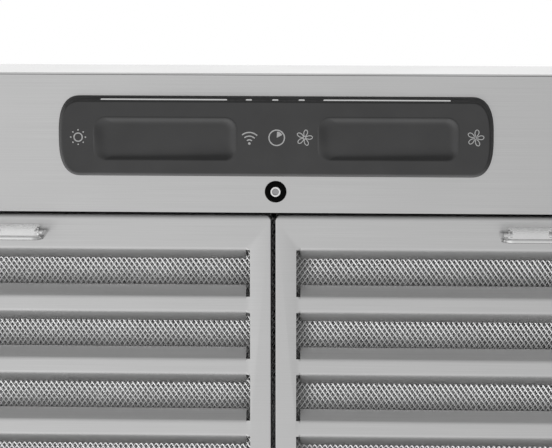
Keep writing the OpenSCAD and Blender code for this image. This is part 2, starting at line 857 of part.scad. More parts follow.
module motor_casing() {
  color([0.3, 0.31, 0.33]) translate([0, blower_y, blower_z]) difference() {
    rod_x(motor_start, motor_end, motor_r);
    rod_x(motor_start - 1, motor_end - cap_t, motor_r - motor_wall);
    rod_x(motor_start, motor_end + 1, bearing_r + 0.05);
  }
}

module motor_end_cap() {
  color([0.6, 0.6, 0.62]) translate([0, blower_y, blower_z]) difference() {
    union() {
      rod_x(motor_start - cap_t, motor_start, motor_r);
      rod_x(motor_start - eps, motor_start + 5, motor_r - motor_wall - 0.1);
      rod_x(motor_start - cap_t - 6, motor_start, bearing_r + 3);
    }
    rod_x(motor_start - cap_t - 7, motor_start + 6, bearing_r + 0.05);
  }
}

module motor_stator() {
  color([0.55, 0.3, 0.15]) translate([0, blower_y, blower_z]) difference() {
    rod_x(motor_start + stator_in, motor_end - stator_in, motor_r - motor_wall - 0.1);
    rod_x(motor_start, motor_end, stator_r);
  }
}

module motor_bearings() {
  color("gray") translate([0, blower_y, blower_z]) difference() {
    union() {
      rod_x(motor_start - cap_t - 4, motor_start - cap_t - 4 + bearing_l, bearing_r);
      rod_x(motor_end - bearing_l, motor_end, bearing_r);
    }
    rod_x(motor_start - 20, motor_end + 20, shaft_r + run_gap);
  }
}

module motor_rotor() {
  color("dimgray") translate([0, blower_y, blower_z]) difference() {
    rod_x(motor_start + stator_in + 1, motor_end - stator_in - 1, stator_r - rotor_gap);
    rod_x(motor_start, motor_end, shaft_r + 0.03);
  }
}

module motor_shaft() {
  color("silver") translate([0, blower_y, blower_z])
    rod_x(motor_start - cap_t - 12, hub_l / 2 + 10, shaft_r);
}

// Centre plate with its hub, and the blades round it
module impeller() {
  span = impeller_w - 2 * (ring_t + weld_gap);
  color([0.7, 0.72, 0.74]) translate([0, blower_y, blower_z]) {
    difference() {
      union() {
        rod_x(-1, 1, impeller_r - blade_depth + 0.5);
        rod_x(-hub_l / 2, hub_l / 2, hub_r);
      }
      rod_x(-hub_l, hub_l, shaft_r + 0.03);
    }
    for (i = [0 : blade_count - 1]) rotate([i * 360 / blade_count, 0, 0])
      translate([0, 0, impeller_r - blade_depth / 2 - 0.6]) rotate([blade_turn, 0, 0])
        cube([span, blade_t, blade_depth - 2 * blade_in], center = true);
  }
}

// The two rings that hold the blades' ends
module impeller_rings() {
  half = impeller_w / 2;
  color([0.7, 0.72, 0.74]) translate([0, blower_y, blower_z])
    for (side = [0, 1]) mirror([side, 0, 0]) difference() {
      rod_x(half - ring_t, half, impeller_r);
      rod_x(half - ring_t - 1, half + 1, impeller_r - blade_depth);
    }
}

module impeller_nut() {
  color("silver") translate([0, blower_y, blower_z]) difference() {
    translate([hub_l / 2, 0, 0]) rotate([0, 90, 0]) cylinder(h = 6, r = 1.85 * shaft_r, $fn = 6);
    rod_x(0, hub_l, shaft_r + 0.03);
  }
}

module blower_screws() {
  color("gainsboro") at_blower_screws() translate([0, 0, top_z + plate_t]) screw_down(10);
}

module motor_screws() {
  color("gainsboro") translate([0, blower_y, blower_z]) for (a = motor_arms) rotate([a, 0, 0])
    translate([0, 0, motor_screw_r]) {
      rod_x(-side_out - bracket_t - 2, -side_out - bracket_t, 3);
      rod_x(-side_out - bracket_t - eps, -side_in + 3, 1.5);
    }
}

// The way from the blower's oblong outlet to the round collar, grown by a wall, and longer at both ends
module transition_form(grow, over) {
  oblong_w = scroll_w + 2 * grow;
  oblong_d = scroll_end_r - throat_in + 2 * grow;
  hull() {
    translate([-oblong_w / 2, outlet_y - oblong_d / 2, outlet_top - over])
      cube([oblong_w, oblong_d, plate_t + over]);
    translate([0, outlet_y, collar_z - eps]) cylinder(h = over + eps, r = collar_in + grow, $fn = 72);
  }
}

module outlet_transition() {
  plate_d = neck_d + 12;
  color(galvanised) difference() {
    union() {
      transition_form(sheet_t, 0);
      translate([-side_out - 2, outlet_y - plate_d / 2, outlet_top])
        cube([2 * side_out + 4, plate_d, plate_t]);
    }
    transition_form(0, 1);
  }
}

module duct_collar() {
  color(galvanised) {
    difference() {
      translate([0, outlet_y, collar_z]) cylinder(h = collar_h, r = collar_r, $fn = 96);
      translate([0, outlet_y, collar_z - 1]) cylinder(h = collar_h + 2, r = collar_in, $fn = 96);
      translate([0, outlet_y, damper_z]) rod_x(-collar_r - 5, collar_r + 5, rod_r + run_gap);
    }
    // Stops under the flaps
    for (side = [-1, 1])
      translate([0, outlet_y + side * (collar_in - stop_l / 2), damper_z - flap_t / 2 - 1.2])
        cube([10, stop_l + sheet_t, 2], center = true);
  }
}

module damper_rod() {
  color("silver") translate([0, outlet_y, damper_z]) rod_x(-collar_r, collar_r, rod_r);
}

// One half-round flap with its knuckles, side -1 in front and 1 behind
module damper_flap(side, knuckle_x) {
  flap_r = collar_in - flap_gap;
  inner = rod_r + run_gap;
  edge = knuckle_r + 0.4;
  color([0.72, 0.73, 0.75]) translate([0, outlet_y, damper_z]) mirror([0, side < 0 ? 1 : 0, 0]) difference() {
    union() {
      intersection() {
        translate([0, 0, -flap_t / 2]) cylinder(h = flap_t, r = flap_r, $fn = 96);
        translate([-flap_r, edge, -flap_t]) cube([2 * flap_r, flap_r, 2 * flap_t]);
      }
      for (x = [-knuckle_x, knuckle_x]) {
        rod_x(x - knuckle_l / 2, x + knuckle_l / 2, knuckle_r);
        translate([x - knuckle_l / 2, inner, -flap_t / 2]) cube([knuckle_l, edge + 1 - inner, flap_t]);
      }
    }
    rod_x(-collar_r, collar_r, inner);
  }
}

module damper_front_flap() {
  damper_flap(-1, 14);
}

module damper_rear_flap() {
  damper_flap(1, 40);
}

// Plan of a three-sided chimney cover with its edges folded in at the wall
module cover_plan(w, d) {
  difference() {
    translate([-w / 2, -d]) square([w, d]);
    translate([chimney_t - w / 2, chimney_t - d]) square([w - 2 * chimney_t, d - 2 * chimney_t]);
    translate([return_w - w / 2, -2 * chimney_t]) square([w - 2 * return_w, 3 * chimney_t]);
  }
}

module lower_chimney_cover() {
  color(steel) difference() {
    union() {
      translate([0, 0, top_z]) linear_extrude(chimney_h) cover_plan(chimney_w, chimney_d);
      // Flanges that stand on the canopy
      for (side = [0, 1]) mirror([side, 0, 0]) translate([chimney_w / 2 - return_w, -chimney_d + 10, top_z])
        cube([return_w - eps, chimney_d - 20, chimney_t]);
    }
    at_chimney_screws() translate([0, 0, top_z - 1]) cylinder(h = 4, r = screw_r + screw_gap);
  }
}

module upper_chimney_cover() {
  color(steel) difference() {
    translate([0, -upper_in, upper_z]) linear_extrude(upper_h) cover_plan(upper_w, upper_d);
    // Vent slots near the top of both sides
    for (i = [0 : vent_count - 1])
      translate([-chimney_w, outlet_y - vent_l / 2, upper_top - 60 - i * vent_pitch])
        cube([2 * chimney_w, vent_l, vent_w]);
    for (side = [-1, 1]) translate([side * upper_w / 2, -bracket_d / 2 - 3, upper_top - bracket_h / 2])
      rod_x(-4, 4, screw_r + screw_gap);
  }
}

module chimney_bracket() {
  low = upper_top - bracket_h;
  color(galvanised) difference() {
    union() {
      // Plate between the cover's folded edges, on the wall
      translate([return_w + 1 - upper_w / 2, -2, low]) cube([upper_w - 2 * return_w - 2, 2, bracket_h]);
      for (side = [0, 1]) mirror([side, 0, 0]) {
        translate([upper_w / 2 - return_w - 3, -bracket_d, low]) cube([2, bracket_d, bracket_h]);
        translate([upper_w / 2 - return_w - 3, -bracket_d, low])
          cube([return_w + 3 - chimney_t - seat_gap, 2, bracket_h]);
        translate([bracket_w / 2 - 2, -bracket_d, low]) cube([2, bracket_d - 6, bracket_h]);
      }
    }
    for (x = [-1, 1]) translate([x * bracket_hole_w / 2, 0, low + bracket_h / 2])
      rod_y(-5, 1, wall_hole_dia / 2);
    for (side = [-1, 1]) translate([side * bracket_w / 2, -bracket_d / 2 - 3, low + bracket_h / 2])
      rod_x(-4, 4, screw_r + screw_gap);
  }
}

module chimney_screws() {
  color("gainsboro") at_chimney_screws() translate([0, 0, top_z + chimney_t]) screw_down(8);
}

// An open box on the back wall, its open side to the front
module wall_box(w) {
  difference() {
    translate([-w / 2, back_in - box_d, box_z]) cube([w, box_d, box_h]);
    translate([box_t - w / 2, back_in - box_d - 1, box_z + box_t])
      cube([w - 2 * box_t, box_d + 1 - box_t, box_h - 2 * box_t]);
  }
}

// Its lid, with a lip round the box
module wall_box_lid(w) {
  grow = lid_gap + box_t;
  difference() {
    translate([-w / 2 - grow, back_in - box_d - box_t, box_z - grow])
      cube([w + 2 * grow, 12, box_h + 2 * grow]);
    translate([-w / 2 - lid_gap, back_in - box_d, box_z - lid_gap])
      cube([w + 2 * lid_gap, 20, box_h + 2 * lid_gap]);
  }
}

module junction_box() {
  color(galvanised) difference() {
    translate([junction_x, 0, 0]) wall_box(junction_w);
    translate([junction_x, 0, inlet_z]) rod_y(back_in - 2 * box_t, 1, inlet_dia / 2 + 2);
    translate(mains_run[0]) rod_x(0, 2 * lead_in, lead_r + screw_gap);
  }
}

module junction_box_cover() {
  color(galvanised) translate([junction_x, 0, 0]) wall_box_lid(junction_w);
}

module inlet_bushing() {
  r = inlet_dia / 2;
  color([0.12, 0.12, 0.12]) translate([junction_x, 0, inlet_z]) difference() {
    union() {
      rod_y(back_in - box_t - 5, 0, r + 1.9);
      rod_y(back_in - box_t - 2, back_in - box_t, r + 4);
    }
    rod_y(back_in - box_t - 6, 1, r);
  }
}

module control_box() {
  color(galvanised) difference() {
    translate([control_x, 0, 0]) wall_box(control_w);
    translate(mains_run[1]) rod_x(-2 * lead_in, 0, lead_r + screw_gap);
    translate(light_run[0]) rod_x(0, 2 * lead_in, lead_r + screw_gap);
  }
}

module control_box_cover() {
  color(galvanised) translate([control_x, 0, 0]) difference() {
    wall_box_lid(control_w);
    // Louvres
    for (i = [0 : louvre_count - 1])
      translate([(i - (louvre_count - 1) / 2) * louvre_pitch - 2, back_in - box_d - 5, box_z + 14])
        cube([4, 10, box_h - 28]);
  }
}

// A part on the front of the power board, from its lower left corner and its size
module part_on_board(corner, size) {
  translate([corner[0], back_in - box_t - 5 - board_t - size[1], box_z + corner[1]])
    cube(size + [0, eps, 0]);
}

module power_board() {
  transformer_h = 24;
  relay_h = 15;
  terminal_h = 11;
  low = back_in - box_t - 5;
  color(board_green) translate([control_x, 0, 0]) {
    translate([10 - control_w / 2, low - board_t, box_z + 7]) cube([control_w - 20, board_t, box_h - 14]);
    // Standoffs, transformer, relays and terminal block
    for (x = [-1, 1], z = [-1, 1])
      translate([x * (control_w / 2 - standoff_in), 0, box_z + box_h / 2 + z * (box_h / 2 - standoff_in + 3)])
        rod_y(low - eps, back_in - box_t, 3);
    part_on_board([-36, 16], [28, transformer_h, 28]);
    for (x = [2, 18]) part_on_board([x, 30], [12, relay_h, 18]);
    part_on_board([0, 10], [36, terminal_h, 10]);
  }
}

module motor_capacitor() {
  y = back_in - capacitor_r - 1.5;
  color([0.85, 0.85, 0.82]) {
    translate([capacitor_x, y, capacitor_z]) cylinder(h = capacitor_l, r = capacitor_r);
    // Strap and its foot on the back wall
    translate([capacitor_x, y, capacitor_z + 26]) cylinder(h = 14, r = capacitor_r + 1);
    translate([capacitor_x - 14, back_in - 8, capacitor_z + 26]) cube([28, 8, 14]);
    // Terminals
    for (x = [-6, 6]) translate([capacitor_x + x - 3, y - 0.4, capacitor_z + capacitor_l - eps])
      cube([6, 0.8, 9]);
  }
}

module wiring_harness() {
  color([0.15, 0.15, 0.16]) {
    lead(mains_run);
    lead(motor_run);
    lead(light_run);
    lead(lamp_run);
    lead(pod_run);
    lead(sensor_run);
  }
}

// Square-edged outline with its two lower corners rounded, from z = 0 up
module tray_outline(a, b, r, low, high) {
  translate([a, low + r]) square([b - a, high - low - r]);
  translate([a + r, low]) square([b - a - 2 * r, r + eps]);
  translate([a + r, low + r]) circle(r = r);
  translate([b - r, low + r]) circle(r = r);
}

// The filter's folded tray form, drawn in by an inset
module tray_form(inset, high) {
  intersection() {
    along_x(filter_w - 2 * inset)
      tray_outline(filter_front + inset, filter_rear - inset, edge_r - inset, inset, high);
    translate([0, filter_rear, 0]) along_y(filter_l)
      tray_outline(inset - filter_w / 2, filter_w / 2 - inset, edge_r - inset, inset, high);
  }
}

// Front edge of a slot
function slot_y(i) = filter_front + end_land + i * slot_pitch;

// One bent lip, seen along X, that starts at y = 0 and rises to the rear
module lip_outline() {
  length = norm([lip_run, lip_rise]);
  back = face_t * [-lip_rise, lip_run] / length;
  polygon([[0, 0], [lip_run, lip_rise], [lip_run, lip_rise] + back, back]);
}

// Windows through the rear edge for the hinge hooks
module hinge_windows() {
  for (x = hinge_x) translate([x - pin_l / 2 + 1, hinge_y - notch_r, hinge_z - 2 * notch_r])
    cube([pin_l - 2, 3 * notch_r, 3 * notch_r]);
}

module filter_face() {
  color(steel) {
    difference() {
      tray_form(0, filter_h);
      tray_form(face_t, filter_h - face_t);
      translate([hem - filter_w / 2, filter_front + hem, filter_h - 2])
        cube([filter_w - 2 * hem, filter_l - 2 * hem, 5]);
      for (i = [0 : slot_count - 1])
        translate([-slot_l / 2, slot_y(i), -1]) cube([slot_l, slot_h, face_t + 2]);
      hinge_windows();
    }
    for (i = [0 : slot_count - 1]) translate([0, slot_y(i), 0]) {
      along_x(slot_l - 2 * relief) lip_outline();
      translate([0, slot_h, 0]) mirror([0, 1, 0]) along_x(slot_l - 2 * relief) lip_outline();
    }
  }
}

module filter_mesh() {
  edge = face_t + frame_gap;
  band = slot_h - 2 * lip_run;
  pitch = (slot_l - 2 * relief) / mesh_gaps;
  half = (pitch - strand_w) / 2;
  color("lightgray") translate([0, 0, mesh_z]) linear_extrude(mesh_t) difference() {
    translate([edge - filter_w / 2, filter_front + edge]) square([filter_w - 2 * edge, filter_l - 2 * edge]);
    for (i = [0 : slot_count - 1], j = [0 : mesh_gaps - 1])
      translate([(j - (mesh_gaps - 1) / 2) * pitch, slot_y(i) + slot_h / 2])
        polygon([[-half, 0], [0, -band / 2], [half, 0], [0, band / 2]]);
    for (x = hinge_x) translate([x - pin_l / 2 - cheek_l, hinge_y - 2 * notch_r])
      square([pin_l + 2 * cheek_l, 30]);
  }
}

// The space inside a filter, drawn in from its outline
module frame_space(inset, low, high) {
  block([inset - filter_w / 2, filter_front + inset, low], [filter_w / 2 - inset, filter_rear - inset, high]);
}

module filter_frame() {
  edge = face_t + frame_gap;
  high = filter_h - face_t;
  strap_w = 8;
  color("lightgray") {
    difference() {
      translate([edge - filter_w / 2, filter_front + edge, frame_z])
        cube([filter_w - 2 * edge, filter_l - 2 * edge, high - frame_z]);
      frame_space(edge + frame_t, frame_z - 1, high - frame_t);
      frame_space(edge + frame_flange, frame_z, high + 1);
      hinge_windows();
    }
    // Straps over the mesh
    for (x = [-0.25, 0.25])
      translate([x * filter_w - strap_w / 2, filter_front + edge + frame_t / 2, high - frame_t])
        cube([strap_w, filter_l - 2 * edge - frame_t, frame_t]);
    // Hinge pins between their cheeks
    for (x = hinge_x) translate([x, hinge_y, hinge_z]) {
      rod_x(-pin_l / 2 - cheek_l / 2, pin_l / 2 + cheek_l / 2, pin_r);
      for (side = [0, 1]) mirror([side, 0, 0]) {
        rod_x(pin_l / 2, pin_l / 2 + cheek_l, edge_r - edge);
        translate([pin_l / 2, edge - edge_r, 0])
          cube([cheek_l, 2 * (edge_r - edge), frame_z - hinge_z + 2]);
      }
    }
  }
}

module filter_bracket() {
  ear_x = handle_w / 2 - ear_inset;
  color(steel) translate([0, handle_y, 0]) difference() {
    union() {
      translate([-ear_x, -5, -1]) cube([2 * ear_x, 10, 1]);
      for (side = [0, 1]) mirror([side, 0, 0]) {
        translate([ear_x - ear_t, -4, handle_z]) cube([ear_t, 8, -handle_z]);
        translate([0, 0, handle_z]) rod_x(ear_x - ear_t, ear_x, 4);
      }
    }
    translate([0, 0, handle_z]) rod_x(-ear_x - 1, ear_x + 1, wire_r + run_gap);
  }
}

module filter_handle() {
  bend = 7;
  leg_x = handle_w / 2 - wire_r;
  ear_x = handle_w / 2 - ear_inset;
  color(steel) translate([0, handle_y, handle_z]) {
    for (side = [0, 1]) mirror([side, 0, 0]) {
      rod_x(ear_x - ear_t - 2, leg_x, wire_r);
      translate([leg_x, 0, 0]) sphere(r = wire_r);
      translate([leg_x, 0, bend + wire_r - handle_drop])
        cylinder(h = handle_drop - bend - wire_r, r = wire_r);
      translate([leg_x - bend, 0, bend + wire_r - handle_drop]) rotate([90, 0, 0]) rotate(-90)
        rotate_extrude(angle = 90) translate([bend, 0]) circle(r = wire_r);
    }
    translate([0, 0, wire_r - handle_drop]) rod_x(bend - leg_x, leg_x - bend, wire_r);
  }
}

module filter_left_face() { at_filter(-1) filter_face(); }
module filter_left_mesh() { at_filter(-1) filter_mesh(); }
module filter_left_frame() { at_filter(-1) filter_frame(); }
module filter_left_bracket() { at_filter(-1) filter_bracket(); }
module filter_left_handle() { at_filter(-1) filter_handle(); }
module filter_right_face() { at_filter(1) filter_face(); }
module filter_right_mesh() { at_filter(1) filter_mesh(); }
module filter_right_frame() { at_filter(1) filter_frame(); }
module filter_right_bracket() { at_filter(1) filter_bracket(); }
module filter_right_handle() { at_filter(1) filter_handle(); }

canopy_shell();
canopy_back();
hanging_plates();
corner_brackets();
underside_panel();
panel_screws();
filter_hooks();
magnet_brackets();
catch_magnets();
control_fascia();
touch_board();
led_light_guides();
fascia_screws();
sensor_bezel();
sensor_can();
sensor_window();
lamp_bezels();
lamp_lenses();
lamp_modules();
blower_scroll();
inlet_rings();
motor_bracket();
motor_casing();
motor_end_cap();
motor_stator();
motor_bearings();
motor_rotor();
motor_shaft();
impeller();
impeller_rings();
impeller_nut();
blower_screws();
motor_screws();
outlet_transition();
duct_collar();
damper_rod();
damper_front_flap();
damper_rear_flap();
lower_chimney_cover();
upper_chimney_cover();
chimney_bracket();
chimney_screws();
junction_box();
junction_box_cover();
inlet_bushing();
control_box();
control_box_cover();
power_board();
motor_capacitor();
wiring_harness();
filter_left_face();
filter_left_mesh();
filter_left_frame();
filter_left_bracket();
filter_left_handle();
filter_right_face();
filter_right_mesh();
filter_right_frame();
filter_right_bracket();
filter_right_handle();
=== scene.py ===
"""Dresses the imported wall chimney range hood, and lights it as in the photograph of its underside.

All lengths are in metres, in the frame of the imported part: +X to the right seen from the front, -Y to the
front, +Z up. The photograph looks up at the underside, with the hood's front at the top of the picture.
"""

import json
import math

import bpy
from mathutils import Matrix, Vector
from mathutils.geometry import delaunay_2d_cdt


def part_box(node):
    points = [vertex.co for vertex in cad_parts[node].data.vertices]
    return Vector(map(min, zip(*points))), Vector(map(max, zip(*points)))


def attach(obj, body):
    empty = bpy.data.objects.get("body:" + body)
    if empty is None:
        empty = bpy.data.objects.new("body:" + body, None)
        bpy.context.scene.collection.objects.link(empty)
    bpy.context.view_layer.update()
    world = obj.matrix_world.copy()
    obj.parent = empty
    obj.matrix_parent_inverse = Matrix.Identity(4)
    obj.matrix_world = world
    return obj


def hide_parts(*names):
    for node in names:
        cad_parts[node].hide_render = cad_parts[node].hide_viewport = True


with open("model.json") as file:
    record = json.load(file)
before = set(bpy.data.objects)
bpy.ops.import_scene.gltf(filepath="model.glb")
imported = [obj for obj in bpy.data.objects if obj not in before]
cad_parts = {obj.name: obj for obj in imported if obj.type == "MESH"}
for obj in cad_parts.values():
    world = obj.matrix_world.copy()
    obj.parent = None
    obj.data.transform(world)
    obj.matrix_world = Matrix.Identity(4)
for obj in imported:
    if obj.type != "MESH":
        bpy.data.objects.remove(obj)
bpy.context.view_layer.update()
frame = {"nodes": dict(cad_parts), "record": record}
nodes = frame["nodes"]
MM = 0.001

# Camera that was matched to the photograph
PICTURE_WIDTH = 552
PICTURE_HEIGHT = 448
LENS = 186.335
SENSOR = 36.0
CAMERA_PLACE = Vector((0.07924, -0.73302, -1.98019))
CAMERA_TURN = (-9.732, 2.251, 0.379)
CAMERA_RANGE = (0.05, 200)

# Steps of a quarter bend, of a round corner and of a lathed round
BEND_STEPS = 8
CORNER_STEPS = 8
ROUND_STEPS = 72

# Control pod, on the sizes of its solid
POD_LOW, POD_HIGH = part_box("control_fascia")
POD_MIDDLE = (POD_LOW + POD_HIGH) / 2
POD_HALF_L = (POD_HIGH.x - POD_LOW.x) / 2
POD_HALF_D = (POD_HIGH.y - POD_LOW.y) / 2
POD_H = -POD_LOW.z
POD_END_L = 15.8 * MM
POD_END_CURVE = (2.4, 2.87)
POD_END_STEPS = 40
POD_LEAN = 2.84 * MM
POD_EDGE_R = 1.2 * MM
POD_EDGE_WIDTH = 1.1 * POD_EDGE_R
POD_WALL = 2.4 * MM

# Slider pads: how far each one's middle is to the right of the pod's and behind it, and its half length
PADS = ((-76.7 * MM, 1.1 * MM, 49.25 * MM), (79.1 * MM, 0.65 * MM, 48.15 * MM))
PAD_HALF_D = 14.75 * MM
PAD_CORNER_R = 7.5 * MM
PAD_END_POINTS = 12
PAD_LIP_H = 0.14 * MM
PAD_STOP_HALF = 11 * MM
PAD_STOP_CURVE = 1.5
# At a pad's left and right end: depth of its dish, height of its stop, and how much wider its slope is
PAD_SINK = (1.0 * MM, 2.3 * MM)
PAD_STOP_H = (0.75 * MM, 0.1 * MM)
PAD_END_STRETCH = (2.6, 1.5)
# From a pad's outside to its floor: inset in mm, share of its ridge's height and share of its depth
PAD_PROFILE = ((-1.4, 0, 0), (-1.2, 0.08, 0), (-0.6, 0.9, 0), (-0.4, 1, 0), (0.1, 0.95, 0.03),
               (0.6, 0.7, 0.16), (1.2, 0.4, 0.42), (1.9, 0.15, 0.68), (2.6, 0, 0.88), (3.6, 0, 0.97),
               (4.8, 0, 1))

# Lit bars and dots in the pod's front wall
LIGHT_X = 77.8 * MM
LIGHT_HALF_L = 44.2 * MM
DOT_PITCH = 18.4 * MM
DOT_HALF_L = 2.1 * MM
LIGHT_Z = -0.65 * POD_H
LIGHT_HALF_H = 1.1 * MM
LIGHT_GAP = 0.1 * MM
LIGHT_CORNER_R = 0.6 * MM
LIGHT_CORNER_STEPS = 4
# From a light's face to its back: depth behind the wall's face, and how much smaller it is there
LIGHT_PROFILE = ((-0.05 * MM, 0.25 * MM), (0.12 * MM, 0), (10 * MM, 0))

# Printed signs on the pod: the pixel of the photograph that each one is centred on, and their sizes
SUN_PIXEL = (78.1, 137.1)
WAVES_PIXEL = (249.3, 137.8)
TIMER_PIXEL = (276.7, 137.8)
SMALL_FAN_PIXEL = (304.4, 137.8)
FAN_PIXEL = (475.6, 138.1)
PRINT_LINE = 0.85 * MM
PRINT_RAISE = 0.03 * MM
CIRCLE_STEPS = 48
DOT_STEPS = 16
SUN_R = 2.9 * MM
SUN_DOTS = 8
SUN_DOTS_R = 5.1 * MM
SUN_DOT_R = 0.55 * MM
WAVE_RADII = (2.6 * MM, 5.2 * MM, 7.8 * MM)
WAVES_FOOT = (0, -4 * MM)
WAVES_ARC = (45, 136)
WAVES_DOT_R = 0.9 * MM
TIMER_R = 5.4 * MM
TIMER_WEDGE_R = 4.4 * MM
TIMER_WEDGE_ARC = (28, 91)
TIMER_WEDGE_STEPS = 12
BLADES = 5
BLADE_STEPS = 24
BLADE_LINE = 0.7 * PRINT_LINE
FAN_HUB_R = 1.0 * MM
# A blade's width at the hub, what it gains outwards, and how far it leans over, as shares
BLADE_ROOT = 0.55
BLADE_GAIN = 0.45
BLADE_SWEEP = 0.25

# Light: the surround, the floor as the camera sees it, and a painted pool of light on the floor that shows
# only in reflections
SURROUND_LIGHT = 0.45
FLOOR_LIFT = 0.6
FLOOR_Z = -9.0
FLOOR_HALF = 90
POOL_LIFT = 1.15
POOL_MIDDLE = (-4.0, 9.0)
POOL_R = 24.0
POOL_SIDES = 4.0
POOL_RIGHT_SHARE = 0.3

# Soft lamps: name, place, size and power of each, and the point that all of them face
LAMPS = [
    ("key", (-1.9, 3.2, -1.4), 1.6, 270),
    ("fill", (-1.0, -2.5, 3.5), 6.6, 50),
    ("top", (1.4, -1.2, 3.2), 2.4, 50),
]
LAMP_AIM = Vector((0, -0.3, 0.1))

# Filters
SLOT_COUNT = 7
SLOT_DEPTH = 33.5 * MM
SLOT_PITCH = 45 * MM
END_LAND = 25.2 * MM
SIDE_LAND = 15.2 * MM
RELIEF = 2.9 * MM
LIP_RUN = 7.3 * MM
LIP_RISE = 7.0 * MM
LIP_BEND_R = 4.7 * MM
LIP_START = 2.4 * MM
LIP_ANGLE = math.radians(42)
LIP_STEPS = 6
FACE_T = 0.8 * MM
EDGE_R = 4 * MM
EDGE_CORNER_STEPS = 6
SIDE_EDGE_SHARE = 0.2
LEAST_R = 0.02 * MM
FLAT_STRIP = 0.6 * MM
FILTER_H = 25 * MM
HEM = 3 * MM
# Bend from the hem down to the side wall: inset and depth below the top
HEM_BEND = ((1.0 * MM, 0), (0.3 * MM, 0.3 * MM), (0, 1.0 * MM))
HINGE_INSET = 60 * MM
HINGE_WINDOW_HALF = 9 * MM
HINGE_NOTCH = 4.6 * MM
HINGE_WINDOW_Z = 8.6 * MM
DIAMOND_W = 3.65 * MM
DIAMOND_H = 5.24 * MM
STRAND_W = 1.5 * MM
STRAND_T = 0.3 * MM
STRAND_TWIST = 0.75 * MM
MESH_LAYERS = 3
MESH_LAYER_PITCH = 3.2 * MM
MESH_LIFT = 0.1 * MM
# How far each layer of mesh is shifted from the one below, as shares of a diamond along X and Y
LAYER_SHIFT = (0.37, 0.3)

# Heat sensor. Each edge goes from one level to the next: distance from its side and height from its face
SENSOR_DEPTH = 7 * MM
SENSOR_SLEEVE_R = 5.5 * MM
SENSOR_GAP = 0.1 * MM
CAN_PAST_WINDOW = 1.25 * MM
CAN_RIM = 0.5 * MM
CAN_SINK = 0.8 * MM
BEZEL_INNER_EDGE = ((0, 0.5 * MM), (0.15 * MM, 0.15 * MM), (0.5 * MM, 0))
BEZEL_OUTER_EDGE = ((1.3 * MM, 0), (0.5 * MM, 0.12 * MM), (0.12 * MM, 0.45 * MM), (0, 0.9 * MM))
CAN_OUTER_EDGE = ((0, 0.2 * MM), (0.06 * MM, 0.06 * MM), (0.2 * MM, 0))
CAN_RIM_EDGE = ((0.5 * MM, 0), (0.63 * MM, 0.06 * MM), (0.7 * MM, 0.2 * MM), (0.7 * MM, CAN_SINK))

# Lamps
LAMP_STEPS = 96
LENS_GAP = 0.1 * MM
LENS_COVER = 1.5 * MM
LENS_SINK = 0.4 * MM
LENS_DOME = 0.9 * MM
LENS_STEPS = 10
LAMP_WALL = 3 * MM
LAMP_INNER_EDGE = ((0.1 * MM, 0.4 * MM), (0.6 * MM, 0))
LAMP_OUTER_EDGE = ((2.2 * MM, 0), (1.0 * MM, 0.25 * MM), (0.2 * MM, 0.8 * MM))

# Grains of the materials, in waves a metre, and what they change
STROKES_ALONG = 10
STROKES_ACROSS = 2600
STROKE_BUMP = 0.006 * MM
SIDEWAYS_FROM = 0.6
STEEL_CLOUDS = 12
STEEL_CLOUD_CHANGE = 0.03
STAINS = 45
GRAIN_CHANGE = 0.06
CRYSTALS = 160
CRYSTAL_COLOUR_CHANGE = 0.09
CRYSTAL_CHANGE = 0.05
ZINC_GRAIN = 700
ZINC_BUMP = 0.01 * MM
WINDOW_GRAIN = 900
WINDOW_CHANGE = 0.05

# Folded sheets: points that are one, faces that are one flat face, and how much their edges are rounded
WELD_GAP = 0.01 * MM
FLAT_ANGLE = math.radians(1)
SOFT_EDGES = {
    "canopy_shell": 0.6 * MM, "canopy_back": 0.3 * MM, "underside_panel": 0.4 * MM,
    "lower_chimney_cover": 0.4 * MM, "upper_chimney_cover": 0.4 * MM, "junction_box": 0.3 * MM,
    "junction_box_cover": 0.3 * MM, "control_box": 0.3 * MM, "control_box_cover": 0.3 * MM,
    "hanging_plates": 0.3 * MM, "corner_brackets": 0.3 * MM, "chimney_bracket": 0.3 * MM,
}


# Meshes and pieces

def piece(name, points, faces, finish, body="root", replaces=(), smooth=True, sharp_angle=30):
    """A new mesh piece that rides on a body and takes its finish from a material slot."""
    mesh = bpy.data.meshes.new(name)
    mesh.from_pydata([tuple(p) for p in points], [], faces)
    mesh.validate()
    mesh.polygons.foreach_set("use_smooth", [smooth] * len(mesh.polygons))
    if smooth:
        mesh.set_sharp_from_angle(angle=math.radians(sharp_angle))
    mesh.materials.append(finishes[finish])
    made = bpy.data.objects.new(name, mesh)
    bpy.context.scene.collection.objects.link(made)
    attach(made, body)
    if replaces:
        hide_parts(*replaces)
    return made


